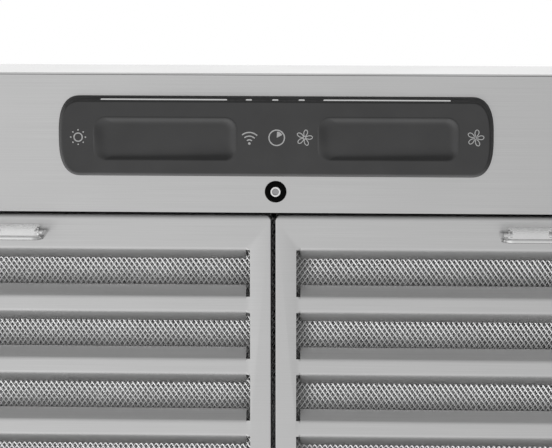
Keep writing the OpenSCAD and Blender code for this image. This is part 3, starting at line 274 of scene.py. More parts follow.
class Shell:
    """Points and faces that are gathered for one mesh."""

    def __init__(self):
        self.points = []
        self.faces = []

    def add(self, points):
        """Adds points and gives their numbers."""
        start = len(self.points)
        self.points.extend(points)
        return list(range(start, len(self.points)))

    def join(self, other):
        """Takes in another shell's points and faces."""
        start = len(self.points)
        self.points.extend(other.points)
        self.faces.extend(tuple(n + start for n in face) for face in other.faces)

    def bridge(self, first, second, closed=True, skip=None):
        """Quads between two rows of points, without the stretches that are skipped."""
        count = len(first)
        for i in range(count if closed else count - 1):
            j = (i + 1) % count
            if skip is None or not skip(i):
                self.faces.append((first[i], first[j], second[j], second[i]))

    def tube(self, rows):
        """Quads between each row of points and the next."""
        for first, second in zip(rows, rows[1:]):
            self.bridge(first, second)

    def flat_fill(self, border, holes, z, gaps=()):
        """Flat triangles inside a border, outside its holes, and outside gaps given as boxes in plan."""
        numbers = list(border)
        for hole in holes:
            numbers.extend(hole)
        edges = []
        outlines = []
        start = 0
        for loop in (border, *holes):
            count = len(loop)
            edges.extend((start + i, start + (i + 1) % count) for i in range(count))
            outlines.append(tuple(range(start, start + count)))
            start += count
        flat = [Vector(self.points[n][:2]) for n in numbers]
        for x0, y0, x1, y1 in gaps:
            corners = self.add([(x0, y0, z), (x1, y0, z), (x1, y1, z), (x0, y1, z)])
            edges.extend((len(flat) + i, len(flat) + (i + 1) % 4) for i in range(4))
            numbers.extend(corners)
            flat.extend(Vector(self.points[n][:2]) for n in corners)
        only_inside = 1
        nearest = 1e-7
        made = delaunay_2d_cdt(flat, edges, outlines, only_inside, nearest)
        spots, _, triangles, spot_origins, _, triangle_origins = made
        ids = []
        for spot, origin in zip(spots, spot_origins):
            ids.append(numbers[origin[0]] if origin else self.add([(spot.x, spot.y, z)])[0])
        for triangle, origin in zip(triangles, triangle_origins):
            middle = sum((spots[v] for v in triangle), Vector((0, 0))) / 3
            in_hole = any(outline > 0 for outline in origin)
            in_gap = any(x0 < middle.x < x1 and y0 < middle.y < y1 for x0, y0, x1, y1 in gaps)
            if not in_hole and not in_gap:
                self.faces.append(tuple(ids[v] for v in reversed(triangle)))


def arc(centre, radius, start, end, steps):
    """Points in plan round an arc, angles in degrees, the end left out."""
    turns = [math.radians(start + (end - start) * i / steps) for i in range(steps)]
    return [(centre[0] + radius * math.cos(a), centre[1] + radius * math.sin(a)) for a in turns]


def stretch_middle(plan, i):
    """Middle of the stretch from a point of a closed outline to the next."""
    return (Vector(plan[i]) + Vector(plan[(i + 1) % len(plan)])) / 2


def lathe(profile, place, steps=ROUND_STEPS):
    """A closed surface of revolution round the z axis at a place, from (radius, z) pairs."""
    made = Shell()
    rows = []
    for radius, z in profile:
        ring = [place + Vector((radius * math.cos(a), radius * math.sin(a), z))
                for a in (2 * math.pi * i / steps for i in range(steps))]
        rows.append(made.add(ring))
    made.tube(rows)
    return made, rows


def thicken(made, thickness):
    """Gives a sheet its thickness on the inside, with flat faces that shade flat."""
    sheet = made.modifiers.new("sheet", "SOLIDIFY")
    sheet.thickness = thickness
    sheet.offset = -1
    normals = made.modifiers.new("flat_faces", "WEIGHTED_NORMAL")
    normals.mode = "FACE_AREA"
    normals.weight = 100
    normals.keep_sharp = True


def soften(made, width):
    """Rounds a piece's edges a little."""
    modifier = made.modifiers.new("edges", "BEVEL")
    modifier.width = width
    modifier.segments = 3
    modifier.limit_method = "ANGLE"
    modifier.angle_limit = math.radians(30)
    modifier.use_clamp_overlap = True


# Materials

class Finish:
    """A material and short calls for the nodes in it."""

    def __init__(self, name, colour, roughness, metallic=0.0, specular=0.5):
        self.material = bpy.data.materials.new(name)
        self.material.use_nodes = True
        self.tree = self.material.node_tree
        self.shader = self.tree.nodes["Principled BSDF"]
        self.set("Base Color", (*colour, 1))
        self.set("Roughness", roughness)
        self.set("Metallic", metallic)
        self.set("Specular IOR Level", specular)
        self.colour = colour
        self.roughness = roughness

    def set(self, socket, value):
        """Sets a number or colour on the shader's own socket."""
        self.shader.inputs[socket].default_value = value

    def node(self, kind, **values):
        """A new node with its settings."""
        made = self.tree.nodes.new(kind)
        for name, value in values.items():
            setattr(made, name, value)
        return made

    def link(self, output, target):
        """Joins a node's output to a socket."""
        self.tree.links.new(output, target)

    def place(self, scale):
        """Object coordinates times a scale for each axis."""
        coordinates = self.node("ShaderNodeTexCoord")
        mapping = self.node("ShaderNodeMapping")
        mapping.inputs["Scale"].default_value = scale
        self.link(coordinates.outputs["Object"], mapping.inputs["Vector"])
        return mapping.outputs["Vector"]

    def times(self, value, factor):
        """A value times another one, or times a number."""
        made = self.node("ShaderNodeMath", operation="MULTIPLY")
        self.link(value, made.inputs[0])
        if isinstance(factor, float):
            made.inputs[1].default_value = factor
        else:
            self.link(factor, made.inputs[1])
        return made.outputs[0]

    def noise(self, vector, scale=1.0, detail=3.0):
        """Noise of a scale at a place."""
        made = self.node("ShaderNodeTexNoise")
        made.inputs["Scale"].default_value = scale
        made.inputs["Detail"].default_value = detail
        self.link(vector, made.inputs["Vector"])
        return made.outputs["Fac"]

    def spangle(self, scale):
        """Random value for each crystal."""
        made = self.node("ShaderNodeTexVoronoi")
        made.inputs["Scale"].default_value = scale
        self.link(self.place((1, 1, 1)), made.inputs["Vector"])
        separate = self.node("ShaderNodeSeparateColor")
        self.link(made.outputs["Color"], separate.inputs["Color"])
        return separate.outputs["Red"]

    def map_range(self, value, start, end, low, high):
        """Maps a value from one range to another."""
        made = self.node("ShaderNodeMapRange")
        for name, number in (("From Min", start), ("From Max", end), ("To Min", low), ("To Max", high)):
            made.inputs[name].default_value = number
        self.link(value, made.inputs["Value"])
        return made.outputs["Result"]

    def spread(self, value, low, high, share=0.25):
        """Maps a noise value, which mostly stays near its middle, to a range."""
        return self.map_range(value, 0.5 - share, 0.5 + share, low, high)

    def vary_colour(self, value, amount, share=0.25):
        """Lets the colour go a share lighter and darker with a value."""
        mix = self.node("ShaderNodeMix", data_type="RGBA")
        mix.inputs[6].default_value = (*(c * (1 - amount) for c in self.colour), 1)
        mix.inputs[7].default_value = (*(min(1.0, c * (1 + amount)) for c in self.colour), 1)
        self.link(self.spread(value, 0, 1, share), mix.inputs[0])
        self.link(mix.outputs[2], self.shader.inputs["Base Color"])

    def vary_roughness(self, value, amount):
        """Lets the roughness go up and down by an amount with a value."""
        varied = self.spread(value, self.roughness - amount, self.roughness + amount)
        self.link(varied, self.shader.inputs["Roughness"])

    def bump(self, value, height):
        """Raises the surface by up to a height with a value."""
        made = self.node("ShaderNodeBump")
        made.inputs["Strength"].default_value = 1.0
        made.inputs["Distance"].default_value = height
        self.link(value, made.inputs["Height"])
        self.link(made.outputs["Normal"], self.shader.inputs["Normal"])

    def brushed_place(self):
        """Coordinates stretched along X, or along Y where the surface faces sideways."""
        geometry = self.node("ShaderNodeNewGeometry")
        separate = self.node("ShaderNodeSeparateXYZ")
        self.link(geometry.outputs["True Normal"], separate.inputs["Vector"])
        size = self.node("ShaderNodeMath", operation="ABSOLUTE")
        self.link(separate.outputs["X"], size.inputs[0])
        sideways = self.node("ShaderNodeMath", operation="GREATER_THAN")
        self.link(size.outputs[0], sideways.inputs[0])
        sideways.inputs[1].default_value = SIDEWAYS_FROM
        mix = self.node("ShaderNodeMix", data_type="VECTOR")
        self.link(sideways.outputs[0], mix.inputs[0])
        self.link(self.place((STROKES_ALONG, STROKES_ACROSS, STROKES_ACROSS)), mix.inputs[4])
        self.link(self.place((STROKES_ACROSS, STROKES_ALONG, STROKES_ACROSS)), mix.inputs[5])
        return mix.outputs[1]


def grained(name, colour, roughness, metallic=0.0, specular=0.5, grain=1500, amount=0.06, height=0.04 * MM):
    """A surface with a fine grain and slow stains: moulded plastic, paint, cast or rolled metal."""
    made = Finish(name, colour, roughness, metallic, specular)
    fine = made.noise(made.place((1, 1, 1)), grain)
    slow = made.noise(made.place((1, 1, 1)), STAINS, 2)
    made.vary_colour(slow, amount)
    made.vary_roughness(fine, GRAIN_CHANGE)
    made.bump(fine, height)
    return made.material


def brushed(name, colour, roughness, amount=0.065):
    """Sheet steel with long fine brushing."""
    made = Finish(name, colour, roughness, metallic=1.0)
    strokes = made.noise(made.brushed_place())
    made.vary_colour(strokes, amount)
    made.vary_roughness(made.noise(made.place((1, 1, 1)), STEEL_CLOUDS, 2), STEEL_CLOUD_CHANGE)
    made.bump(strokes, STROKE_BUMP)
    return made.material


def galvanised(name, colour, roughness):
    """Zinc-coated steel with its crystals."""
    made = Finish(name, colour, roughness, metallic=1.0)
    crystals = made.spangle(CRYSTALS)
    made.vary_colour(crystals, CRYSTAL_COLOUR_CHANGE, 0.5)
    made.vary_roughness(crystals, CRYSTAL_CHANGE)
    made.bump(made.noise(made.place((1, 1, 1)), ZINC_GRAIN), ZINC_BUMP)
    return made.material


def lit(name, colour, strength):
    """A light window that glows evenly."""
    made = Finish(name, colour, 0.35)
    made.vary_roughness(made.noise(made.place((1, 1, 1)), WINDOW_GRAIN), WINDOW_CHANGE)
    made.set("Emission Color", (1, 1, 1, 1))
    made.set("Emission Strength", strength)
    return made.material


def make_finishes():
    """The materials by the record's slot names, and the print of the signs."""
    return {
        "stainless": brushed("stainless", (0.56, 0.56, 0.56), 0.36),
        "galvanised_steel": galvanised("galvanised_steel", (0.55, 0.57, 0.58), 0.42),
        "screw_steel": grained("screw_steel", (0.66, 0.66, 0.67), 0.28, 1.0),
        "wire_steel": grained("wire_steel", (0.70, 0.70, 0.70), 0.2, 1.0, amount=0.03),
        "filter_aluminium": grained("filter_aluminium", (0.85, 0.85, 0.85), 0.4, 0.15),
        "cast_aluminium": grained("cast_aluminium", (0.55, 0.56, 0.57), 0.5, 1.0, grain=900,
                                  height=0.12 * MM),
        "painted_motor": grained("painted_motor", (0.05, 0.05, 0.055), 0.42, height=0.08 * MM),
        "motor_core": grained("motor_core", (0.30, 0.28, 0.26), 0.5, 0.8),
        "fascia_plastic": grained("fascia_plastic", (0.066, 0.066, 0.0665), 0.5, specular=0.05, grain=2600,
                                  height=0.01 * MM),
        "light_guide": lit("light_guide", (0.3, 0.3, 0.3), 0.38),
        "sensor_black": grained("sensor_black", (0.003, 0.003, 0.003), 0.5, specular=0.02, amount=0.15),
        "sensor_silver": grained("sensor_silver", (0.78, 0.78, 0.78), 0.25, 1.0, amount=0.03),
        "sensor_window": grained("sensor_window", (0.31, 0.31, 0.32), 0.2, amount=0.05),
        "lamp_lens": grained("lamp_lens", (0.86, 0.86, 0.84), 0.5, grain=1200, amount=0.02),
        "circuit_board": grained("circuit_board", (0.02, 0.11, 0.05), 0.35, grain=600, amount=0.2),
        "capacitor_plastic": grained("capacitor_plastic", (0.68, 0.68, 0.65), 0.4),
        "lead_plastic": grained("lead_plastic", (0.02, 0.02, 0.02), 0.45, amount=0.12),
        "sign_print": grained("sign_print", (0.42, 0.42, 0.42), 0.5, amount=0.03),
    }


def dress_nodes():
    """Gives each CAD node the material of its slot, and soft edges to the folded sheets."""
    for row in frame["record"]["subparts"]:
        node = nodes[row["node"]]
        node.data.materials.clear()
        node.data.materials.append(finishes[row["material_slot"]])
        if row["node"] in SOFT_EDGES:
            weld = node.modifiers.new("weld", "WELD")
            weld.merge_threshold = WELD_GAP
            flat = node.modifiers.new("flat", "DECIMATE")
            flat.decimate_type = "DISSOLVE"
            flat.angle_limit = FLAT_ANGLE
            soften(node, SOFT_EDGES[row["node"]])


# Control pod

def pod_outline(inset):
    """The pod's outline in plan, drawn in by an inset, counter-clockwise from its front right corner."""
    half_d = POD_HALF_D - inset
    reach = POD_END_L - inset
    straight = POD_HALF_L - POD_END_L
    end = []
    for i in range(POD_END_STEPS + 1):
        turn = math.radians(180 / POD_END_STEPS * i - 90)
        along = abs(math.cos(turn)) ** (2 / POD_END_CURVE[0])
        across = math.copysign(abs(math.sin(turn)) ** (2 / POD_END_CURVE[1]), turn)
        end.append((straight + reach * along, half_d * across))
    edges = sorted({0.0, *window_edges()})
    plan = end + [(x, half_d) for x in reversed(edges)]
    plan += [(-x, -y) for x, y in end] + [(x, -half_d) for x in edges]
    return [(x + POD_MIDDLE.x, y + POD_MIDDLE.y) for x, y in plan]


def windows():
    """Middle and half length of each light window."""
    long_ones = [(side * LIGHT_X, LIGHT_HALF_L) for side in (-1, 1)]
    return long_ones + [(i * DOT_PITCH, DOT_HALF_L) for i in (-1, 0, 1)]


def window_edges():
    """Where the windows start and end along the pod."""
    return [x + side * (half + LIGHT_GAP) for x, half in windows() for side in (-1, 1)]


def wall_inset(z):
    """How far the leaning side wall is in at a height."""
    return POD_LEAN * -z / POD_H


def rounded_rectangle(middle, half_l, half_d, radius, steps=CORNER_STEPS, ends=0):
    """A rounded rectangle's outline in plan, counter-clockwise, with more points along its ends."""
    made = []
    for start, (i, j) in zip((0, 90, 180, 270), ((1, 1), (-1, 1), (-1, -1), (1, -1))):
        corner = (middle[0] + i * (half_l - radius), middle[1] + j * (half_d - radius))
        made += arc(corner, radius, start, start + 90, steps)
        made.append((corner[0] + radius * math.cos(math.radians(start + 90)),
                     corner[1] + radius * math.sin(math.radians(start + 90))))
        if start in (90, 270):
            side = corner[1] - middle[1]
            made += [(middle[0] + i * half_l, middle[1] + side - 2 * side * k / ends) for k in range(1, ends)]
    return made


def pad_sink(x, pad_half):
    """Depth of a pad's dish, which falls evenly from its left end to its right one."""
    return PAD_SINK[0] + (PAD_SINK[1] - PAD_SINK[0]) * (x + pad_half) / (2 * pad_half)


def pad_ridge(x, y, pad_half):
    """Height of the low ridge round a pad: a faint lip in front, and a stop for a finger at each end."""
    lip = PAD_LIP_H * max(0, -y / PAD_HALF_D)
    if abs(x) < pad_half - PAD_CORNER_R:
        return lip
    return lip + PAD_STOP_H[x > 0] * max(0, 1 - (y / PAD_STOP_HALF) ** 2) ** PAD_STOP_CURVE


def pad_ring(middle, pad_half, inset):
    """A pad's outline in plan at an inset, which is stretched inwards at the pad's ends."""
    left, right = (inset * (stretch if inset > 0 else 1) for stretch in PAD_END_STRETCH)
    centre = (middle[0] + (left - right) / 2, middle[1])
    return rounded_rectangle(centre, pad_half - (left + right) / 2, PAD_HALF_D - inset, PAD_CORNER_R - inset,
                             ends=PAD_END_POINTS)


def add_pad(made, pad_x, pad_y, pad_half):
    """Adds a dished pad to the pod's shell, and gives the numbers of its outermost points."""
    middle = (POD_MIDDLE.x + pad_x, POD_MIDDLE.y + pad_y)
    rims = []
    for inset, ridge, depth in PAD_PROFILE:
        points = []
        for x, y in pad_ring(middle, pad_half, inset * MM):
            along = x - middle[0]
            across = y - middle[1]
            face = depth * pad_sink(along, pad_half) - POD_H
            points.append((x, y, face - ridge * pad_ridge(along, across, pad_half)))
        rims.append(made.add(points))
    for first, second in zip(rims, rims[1:]):
        made.bridge(second, first)
    made.faces.append(tuple(reversed(rims[-1])))
    return rims[0]


def make_pod():
    """The moulded pod: leaning walls with light windows, a soft edge and two dished slider pads."""
    made = Shell()
    windows_high = LIGHT_Z + LIGHT_HALF_H + LIGHT_GAP
    windows_low = LIGHT_Z - LIGHT_HALF_H - LIGHT_GAP
    edge_z = POD_EDGE_R - POD_H
    levels = [(wall_inset(z), z) for z in (0, windows_high, windows_low, edge_z)]
    for i in range(1, BEND_STEPS + 1):
        turn = math.radians(90 * i / BEND_STEPS)
        levels.append((wall_inset(edge_z) + POD_EDGE_WIDTH * (1 - math.cos(turn)),
                       edge_z - POD_EDGE_R * math.sin(turn)))
    rows = [made.add([(x, y, z) for x, y in pod_outline(inset)]) for inset, z in levels]
    plan = pod_outline(wall_inset(windows_high))

    def in_window(i):
        """True for the stretch of the front wall where a light shows."""
        middle = stretch_middle(plan, i)
        is_front = middle.y < POD_MIDDLE.y - POD_HALF_D + 2 * POD_LEAN
        return is_front and any(abs(middle.x - POD_MIDDLE.x - x) < half for x, half in windows())

    for (_, z), first, second in zip(levels, rows, rows[1:]):
        made.bridge(second, first, skip=in_window if z == windows_high else None)
    pads = [add_pad(made, *pad) for pad in PADS]
    made.flat_fill(rows[-1], pads, -POD_H)
    pod = piece("pod_moulding", made.points, made.faces, "fascia_plastic", replaces=["control_fascia"],
                sharp_angle=40)
    thicken(pod, POD_WALL)


def make_light_guides():
    """The lit bars and dots that fill the windows of the front wall."""
    made = Shell()
    front = POD_MIDDLE.y - POD_HALF_D
    for x, half in windows():
        middle = (POD_MIDDLE.x + x, LIGHT_Z)
        rings = []
        for depth, shrink in LIGHT_PROFILE:
            outline = rounded_rectangle(middle, half - shrink, LIGHT_HALF_H - shrink, LIGHT_CORNER_R,
                                        LIGHT_CORNER_STEPS)
            rings.append(made.add([(along, front + wall_inset(z) + depth, z) for along, z in outline]))
        made.tube(rings)
        made.faces.append(tuple(reversed(rings[0])))
        made.faces.append(tuple(rings[-1]))
    piece("light_bars", made.points, made.faces, "light_guide", replaces=["led_light_guides"])


# Printed signs

def camera_matrix():
    """The matched camera's place and turn, from one that looks straight up."""
    turn = Matrix.Diagonal((1, -1, -1))
    for angle, axis in zip(CAMERA_TURN, "XYZ"):
        turn = turn @ Matrix.Rotation(math.radians(angle), 3, axis)
    return Matrix.Translation(CAMERA_PLACE) @ turn.to_4x4()


def on_pod(pixel):
    """The point of the pod's face that a pixel of the photograph shows."""
    reach = PICTURE_WIDTH * LENS / SENSOR
    seen = Vector((pixel[0] - PICTURE_WIDTH / 2, PICTURE_HEIGHT / 2 - pixel[1], -reach))
    ray = camera_matrix().to_3x3() @ seen
    return CAMERA_PLACE + ray * ((-POD_H - CAMERA_PLACE.z) / ray.z)


class Sign:
    """A flat printed sign, drawn with x to the right and y towards the hood's front."""

    def __init__(self, pixel):
        self.shell = Shell()
        self.place = on_pod(pixel)

    def points(self, plan):
        """Adds points of the sign's plan just below the pod's face."""
        return self.shell.add([self.place + Vector((x, -y, -PRINT_RAISE)) for x, y in plan])

    def band(self, path, closed=False, width=PRINT_LINE):
        """A line of even width along a path."""
        count = len(path)
        sides = []
        for i, (x, y) in enumerate(path):
            before = path[i - 1] if closed or i else path[i]
            after = path[(i + 1) % count] if closed or i < count - 1 else path[i]
            along = Vector((after[0] - before[0], after[1] - before[1])).normalized()
            across = Vector((-along.y, along.x)) * width / 2
            sides.append(((x + across.x, y + across.y), (x - across.x, y - across.y)))
        left = self.points([s[0] for s in sides])
        right = self.points([s[1] for s in sides])
        self.shell.bridge(left, right, closed)

    def patch(self, plan):
        """A filled outline."""
        self.shell.faces.append(tuple(reversed(self.points(plan))))

    def circle(self, radius):
        """A circle round the sign's middle."""
        self.band(arc((0, 0), radius, 0, 360, CIRCLE_STEPS), closed=True)

    def dot(self, centre, radius):
        """A filled round dot."""
        self.patch(arc(centre, radius, 0, 360, DOT_STEPS))

    def finish(self, name):
        """Makes the sign's piece."""
        piece(name, self.shell.points, self.shell.faces, "sign_print", smooth=False)


def fan_blades(sign, reach, hub, width):
    """Looped fan blades round a hub."""
    for i in range(BLADES):
        turn = 2 * math.pi * i / BLADES
        loop = []
        for j in range(BLADE_STEPS):
            round_blade = 2 * math.pi * j / BLADE_STEPS
            along = hub + (reach - hub) * (1 - math.cos(round_blade)) / 2
            across = width * math.sin(round_blade) * (BLADE_ROOT + BLADE_GAIN * along / reach)
            across += BLADE_SWEEP * width * along / reach
            loop.append((along * math.cos(turn) - across * math.sin(turn),
                         along * math.sin(turn) + across * math.cos(turn)))
        sign.band(loop, closed=True, width=BLADE_LINE)


def make_signs():
    """Plain signs for light, wireless, timer and fan."""
    sun = Sign(SUN_PIXEL)
    sun.circle(SUN_R)
    for i in range(SUN_DOTS):
        turn = math.radians(360 / SUN_DOTS * i)
        sun.dot((SUN_DOTS_R * math.cos(turn), SUN_DOTS_R * math.sin(turn)), SUN_DOT_R)
    sun.finish("sign_light")
    waves = Sign(WAVES_PIXEL)
    for radius in WAVE_RADII:
        waves.band(arc(WAVES_FOOT, radius, *WAVES_ARC, DOT_STEPS))
    waves.dot(WAVES_FOOT, WAVES_DOT_R)
    waves.finish("sign_wireless")
    timer = Sign(TIMER_PIXEL)
    timer.circle(TIMER_R)
    timer.patch([(0, 0), *arc((0, 0), TIMER_WEDGE_R, *TIMER_WEDGE_ARC, TIMER_WEDGE_STEPS)])
    timer.finish("sign_timer")
    small = Sign(SMALL_FAN_PIXEL)
    fan_blades(small, reach=5.6 * MM, hub=0.8 * MM, width=1.5 * MM)
    small.finish("sign_small_fan")
    fan = Sign(FAN_PIXEL)
    fan_blades(fan, reach=5.8 * MM, hub=1.2 * MM, width=1.6 * MM)
    fan.circle(FAN_HUB_R)
    fan.finish("sign_fan")


# Filters

def tray_outline(box, inset):
    """A filter's outline in plan at an inset, less of it at the sides, with points at the hinge windows."""
    (x0, y0), (x1, y1) = box
    radius = max(EDGE_R - inset, LEAST_R)
    middle = ((x0 + x1) / 2, (y0 + y1) / 2)
    half_l = (x1 - x0) / 2 - SIDE_EDGE_SHARE * min(inset, EDGE_R) - max(0, inset - EDGE_R)
    plan = rounded_rectangle(middle, half_l, (y1 - y0) / 2 - inset, radius, EDGE_CORNER_STEPS)
    rear = [(x, y1 - inset) for x in reversed(hinge_edges(x0, x1))]
    first_corner = EDGE_CORNER_STEPS + 1
    return plan[:first_corner] + rear + plan[first_corner:]


def hinge_edges(x0, x1):
    """Where the hinge windows start and end along a filter's rear edge."""
    middles = (x0 + HINGE_INSET, x1 - HINGE_INSET)
    return sorted(x + side * HINGE_WINDOW_HALF for x in middles for side in (-1, 1))


def lip_profile():
    """A lip's bend and slope, from the face on: distance into the slot and height."""
    turns = [LIP_ANGLE * i / LIP_STEPS for i in range(1, LIP_STEPS + 1)]
    bend = [(LIP_BEND_R * math.sin(turn) - LIP_START, LIP_BEND_R * (1 - math.cos(turn))) for turn in turns]
    return bend + [(LIP_RUN, LIP_RISE)]


def make_filter_face(side):
    """The folded and slotted face sheet of one filter."""
    low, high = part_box("filter_%s_face" % side)
    box = ((low.x, low.y), (high.x, high.y))
    made = Shell()
    levels = [(HEM, FILTER_H)] + [(inset, FILTER_H - depth) for inset, depth in HEM_BEND]
    levels += [(0, HINGE_WINDOW_Z), (0, EDGE_R)]
    for i in range(1, BEND_STEPS + 1):
        turn = math.radians(90 * i / BEND_STEPS)
        levels.append((EDGE_R * (1 - math.cos(turn)), EDGE_R * (1 - math.sin(turn))))
    levels.append((EDGE_R + FLAT_STRIP, 0))
    rows = [made.add([(x, y, z) for x, y in tray_outline(box, inset)]) for inset, z in levels]
    edges = hinge_edges(low.x, high.x)
    openings = [(edges[0], edges[1]), (edges[2], edges[3])]
    plan = tray_outline(box, 0)

    def in_hinge_window(i):
        """True for the stretch of the rear edge that a hook reaches through."""
        middle = stretch_middle(plan, i)
        return middle.y > high.y - MM and any(a < middle.x < b for a, b in openings)

    for (_, z), first, second in zip(levels, rows, rows[1:]):
        made.bridge(second, first, skip=in_hinge_window if z <= HINGE_WINDOW_Z else None)
    slots = []
    middle = (low.x + high.x) / 2
    half = (high.x - low.x) / 2 - SIDE_LAND
    lip_half = half - RELIEF
    # Along a slot's edge: place from the middle, and how far the edge steps back for the lip's bend
    edge = ((-half, 0), (-lip_half, 0), (-lip_half, LIP_START),
            (lip_half, LIP_START), (lip_half, 0), (half, 0))
    for i in range(SLOT_COUNT):
        front = low.y + END_LAND + i * SLOT_PITCH
        rear = front + SLOT_DEPTH
        near = made.add([(middle + x, front - step, 0) for x, step in edge])
        far = made.add([(middle + x, rear + step, 0) for x, step in edge])
        slots.append(near + far[::-1])
        for start, direction, ends in ((front, 1, near[2:4]), (rear, -1, far[2:4])):
            last = ends
            for run, rise in lip_profile():
                row = made.add([(made.points[n][0], start + direction * run, rise) for n in ends])
                if direction > 0:
                    made.faces.append((last[1], last[0], row[0], row[1]))
                else:
                    made.faces.append((last[0], last[1], row[1], row[0]))
                last = row
    gaps = [(a, high.y - EDGE_R - HINGE_NOTCH, b, high.y - EDGE_R - FLAT_STRIP) for a, b in openings]
    made.flat_fill(rows[-1], slots, 0, gaps)
    face = piece("filter_%s_sheet" % side, made.points, made.faces, "stainless", "filter_" + side,
                 ["filter_%s_face" % side], sharp_angle=50)
    thicken(face, FACE_T)


def make_filter_mesh(side):
    """Expanded metal: zigzag strands that meet in diamonds, repeated over the filter."""
    low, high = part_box("filter_%s_mesh" % side)
    rear = high.y - EDGE_R - 2 * HINGE_NOTCH
    columns = round((high.x - low.x) / DIAMOND_W)
    lines = round((rear - low.y) / DIAMOND_H)
    wide = (high.x - low.x) / columns
    deep = (rear - low.y) / lines
    made = Shell()
    for layer, row in ((i, j) for i in range(MESH_LAYERS) for j in (0, 1)):
        middle = low.y + deep * (0.25 + 0.5 * row + LAYER_SHIFT[1] * layer)
        swing = deep / 4 * (1 if row else -1)
        base = low.z + MESH_LIFT + layer * MESH_LAYER_PITCH
        rings = []
        for step in range(3):
            x = low.x + wide * (step / 2 + LAYER_SHIFT[0] * layer)
            y = middle + swing * (1 if step == 1 else -1)
            near = y - STRAND_W / 2
            far = y + STRAND_W / 2
            twisted = base + STRAND_TWIST
            rings.append(made.add([(x, near, base), (x, far, twisted), (x, far, twisted + STRAND_T),
                                   (x, near, base + STRAND_T)]))
        made.tube(rings)
    net = piece("filter_%s_net" % side, made.points, made.faces, "filter_aluminium", "filter_" + side,
                ["filter_%s_mesh" % side], smooth=False)
    for name, count, step in (("columns", columns, (wide, 0, 0)), ("lines", lines, (0, deep, 0))):
        repeat = net.modifiers.new(name, "ARRAY")
        repeat.count = count
        repeat.use_relative_offset = False
        repeat.use_constant_offset = True
        repeat.constant_offset_displace = step


# Round parts

def make_sensor():
    """The heat sensor: a black bezel, and a silver can with a rolled rim round its window."""
    low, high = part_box("sensor_bezel")
    place = Vector(((low.x + high.x) / 2, (low.y + high.y) / 2, 0))
    outer = (high.x - low.x) / 2
    can_low, can_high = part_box("sensor_can")
    can_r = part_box("sensor_window")[1].x + CAN_PAST_WINDOW - place.x
    flange = -low.z
    inner = can_r + SENSOR_GAP
    bezel = [(inner, SENSOR_DEPTH)]
    bezel += [(inner + across, up - flange) for across, up in BEZEL_INNER_EDGE]
    bezel += [(outer - across, up - flange) for across, up in BEZEL_OUTER_EDGE]
    bezel += [(outer, 0), (SENSOR_SLEEVE_R, 0), (SENSOR_SLEEVE_R, high.z)]
    made, rows = lathe(bezel, place)
    made.bridge(rows[-1], rows[0])
    piece("sensor_ring", made.points, made.faces, "sensor_black", replaces=["sensor_bezel"])
    rim = can_r - CAN_RIM
    face = can_low.z
    can = [(can_r, can_high.z - MM)]
    can += [(can_r - across, face + up) for across, up in CAN_OUTER_EDGE]
    can += [(rim - across, face + up) for across, up in CAN_RIM_EDGE]
    made, rows = lathe(can, place)
    made.faces.append(tuple(rows[0]))
    bottom = tuple(place + Vector((0, 0, face + CAN_SINK)))
    made.bridge(rows[-1], made.add([bottom] * len(rows[-1])))
    piece("sensor_cup", made.points, made.faces, "sensor_silver", replaces=["sensor_can"])


def make_lamps():
    """Lamp bezels with a rounded flange, and slightly domed frosted lenses."""
    low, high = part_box("lamp_bezels")
    outer = (high.y - low.y) / 2
    lens_low, lens_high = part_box("lamp_lenses")
    lens_r = (lens_high.y - lens_low.y) / 2
    flange = -low.z
    inner = lens_r - LENS_COVER
    bore = lens_r + LENS_GAP
    wall = lens_r + LAMP_WALL
    bezel = [(bore, high.z), (bore, -LENS_SINK), (inner, -LENS_SINK)]
    bezel += [(inner + across, up - flange) for across, up in LAMP_INNER_EDGE]
    bezel += [(outer - across, up - flange) for across, up in LAMP_OUTER_EDGE]
    bezel += [(outer, 0), (wall, 0), (wall, high.z)]
    turns = [math.pi / 2 * i / LENS_STEPS for i in range(1, LENS_STEPS + 1)]
    lens = [(inner * math.sin(turn), -LENS_SINK - LENS_DOME * math.cos(turn)) for turn in turns]
    lens += [(lens_r, -LENS_SINK), (lens_r, lens_high.z)]
    bezels = Shell()
    lenses = Shell()
    for x in (low.x + outer, high.x - outer):
        place = Vector((x, (low.y + high.y) / 2, 0))
        made, rows = lathe(bezel, place, LAMP_STEPS)
        made.bridge(rows[-1], rows[0])
        bezels.join(made)
        made, rows = lathe(lens, place, LAMP_STEPS)
        made.faces.append(tuple(reversed(rows[0])))
        made.faces.append(tuple(rows[-1]))
        lenses.join(made)
    piece("lamp_rings", bezels.points, bezels.faces, "stainless", replaces=["lamp_bezels"])
    piece("lamp_glasses", lenses.points, lenses.faces, "lamp_lens", replaces=["lamp_lenses"])


# Stage

def seen_directly(tree):
    """1 where a surface is seen straight, in a reflection or through glass, and 0 for the light it gives."""
    path = tree.nodes.new("ShaderNodeLightPath")
    result = path.outputs["Is Camera Ray"]
    for ray in ("Is Glossy Ray", "Is Transmission Ray"):
        either = tree.nodes.new("ShaderNodeMath")
        either.operation = "MAXIMUM"
        tree.links.new(result, either.inputs[0])
        tree.links.new(path.outputs[ray], either.inputs[1])
        result = either.outputs[0]
    return result


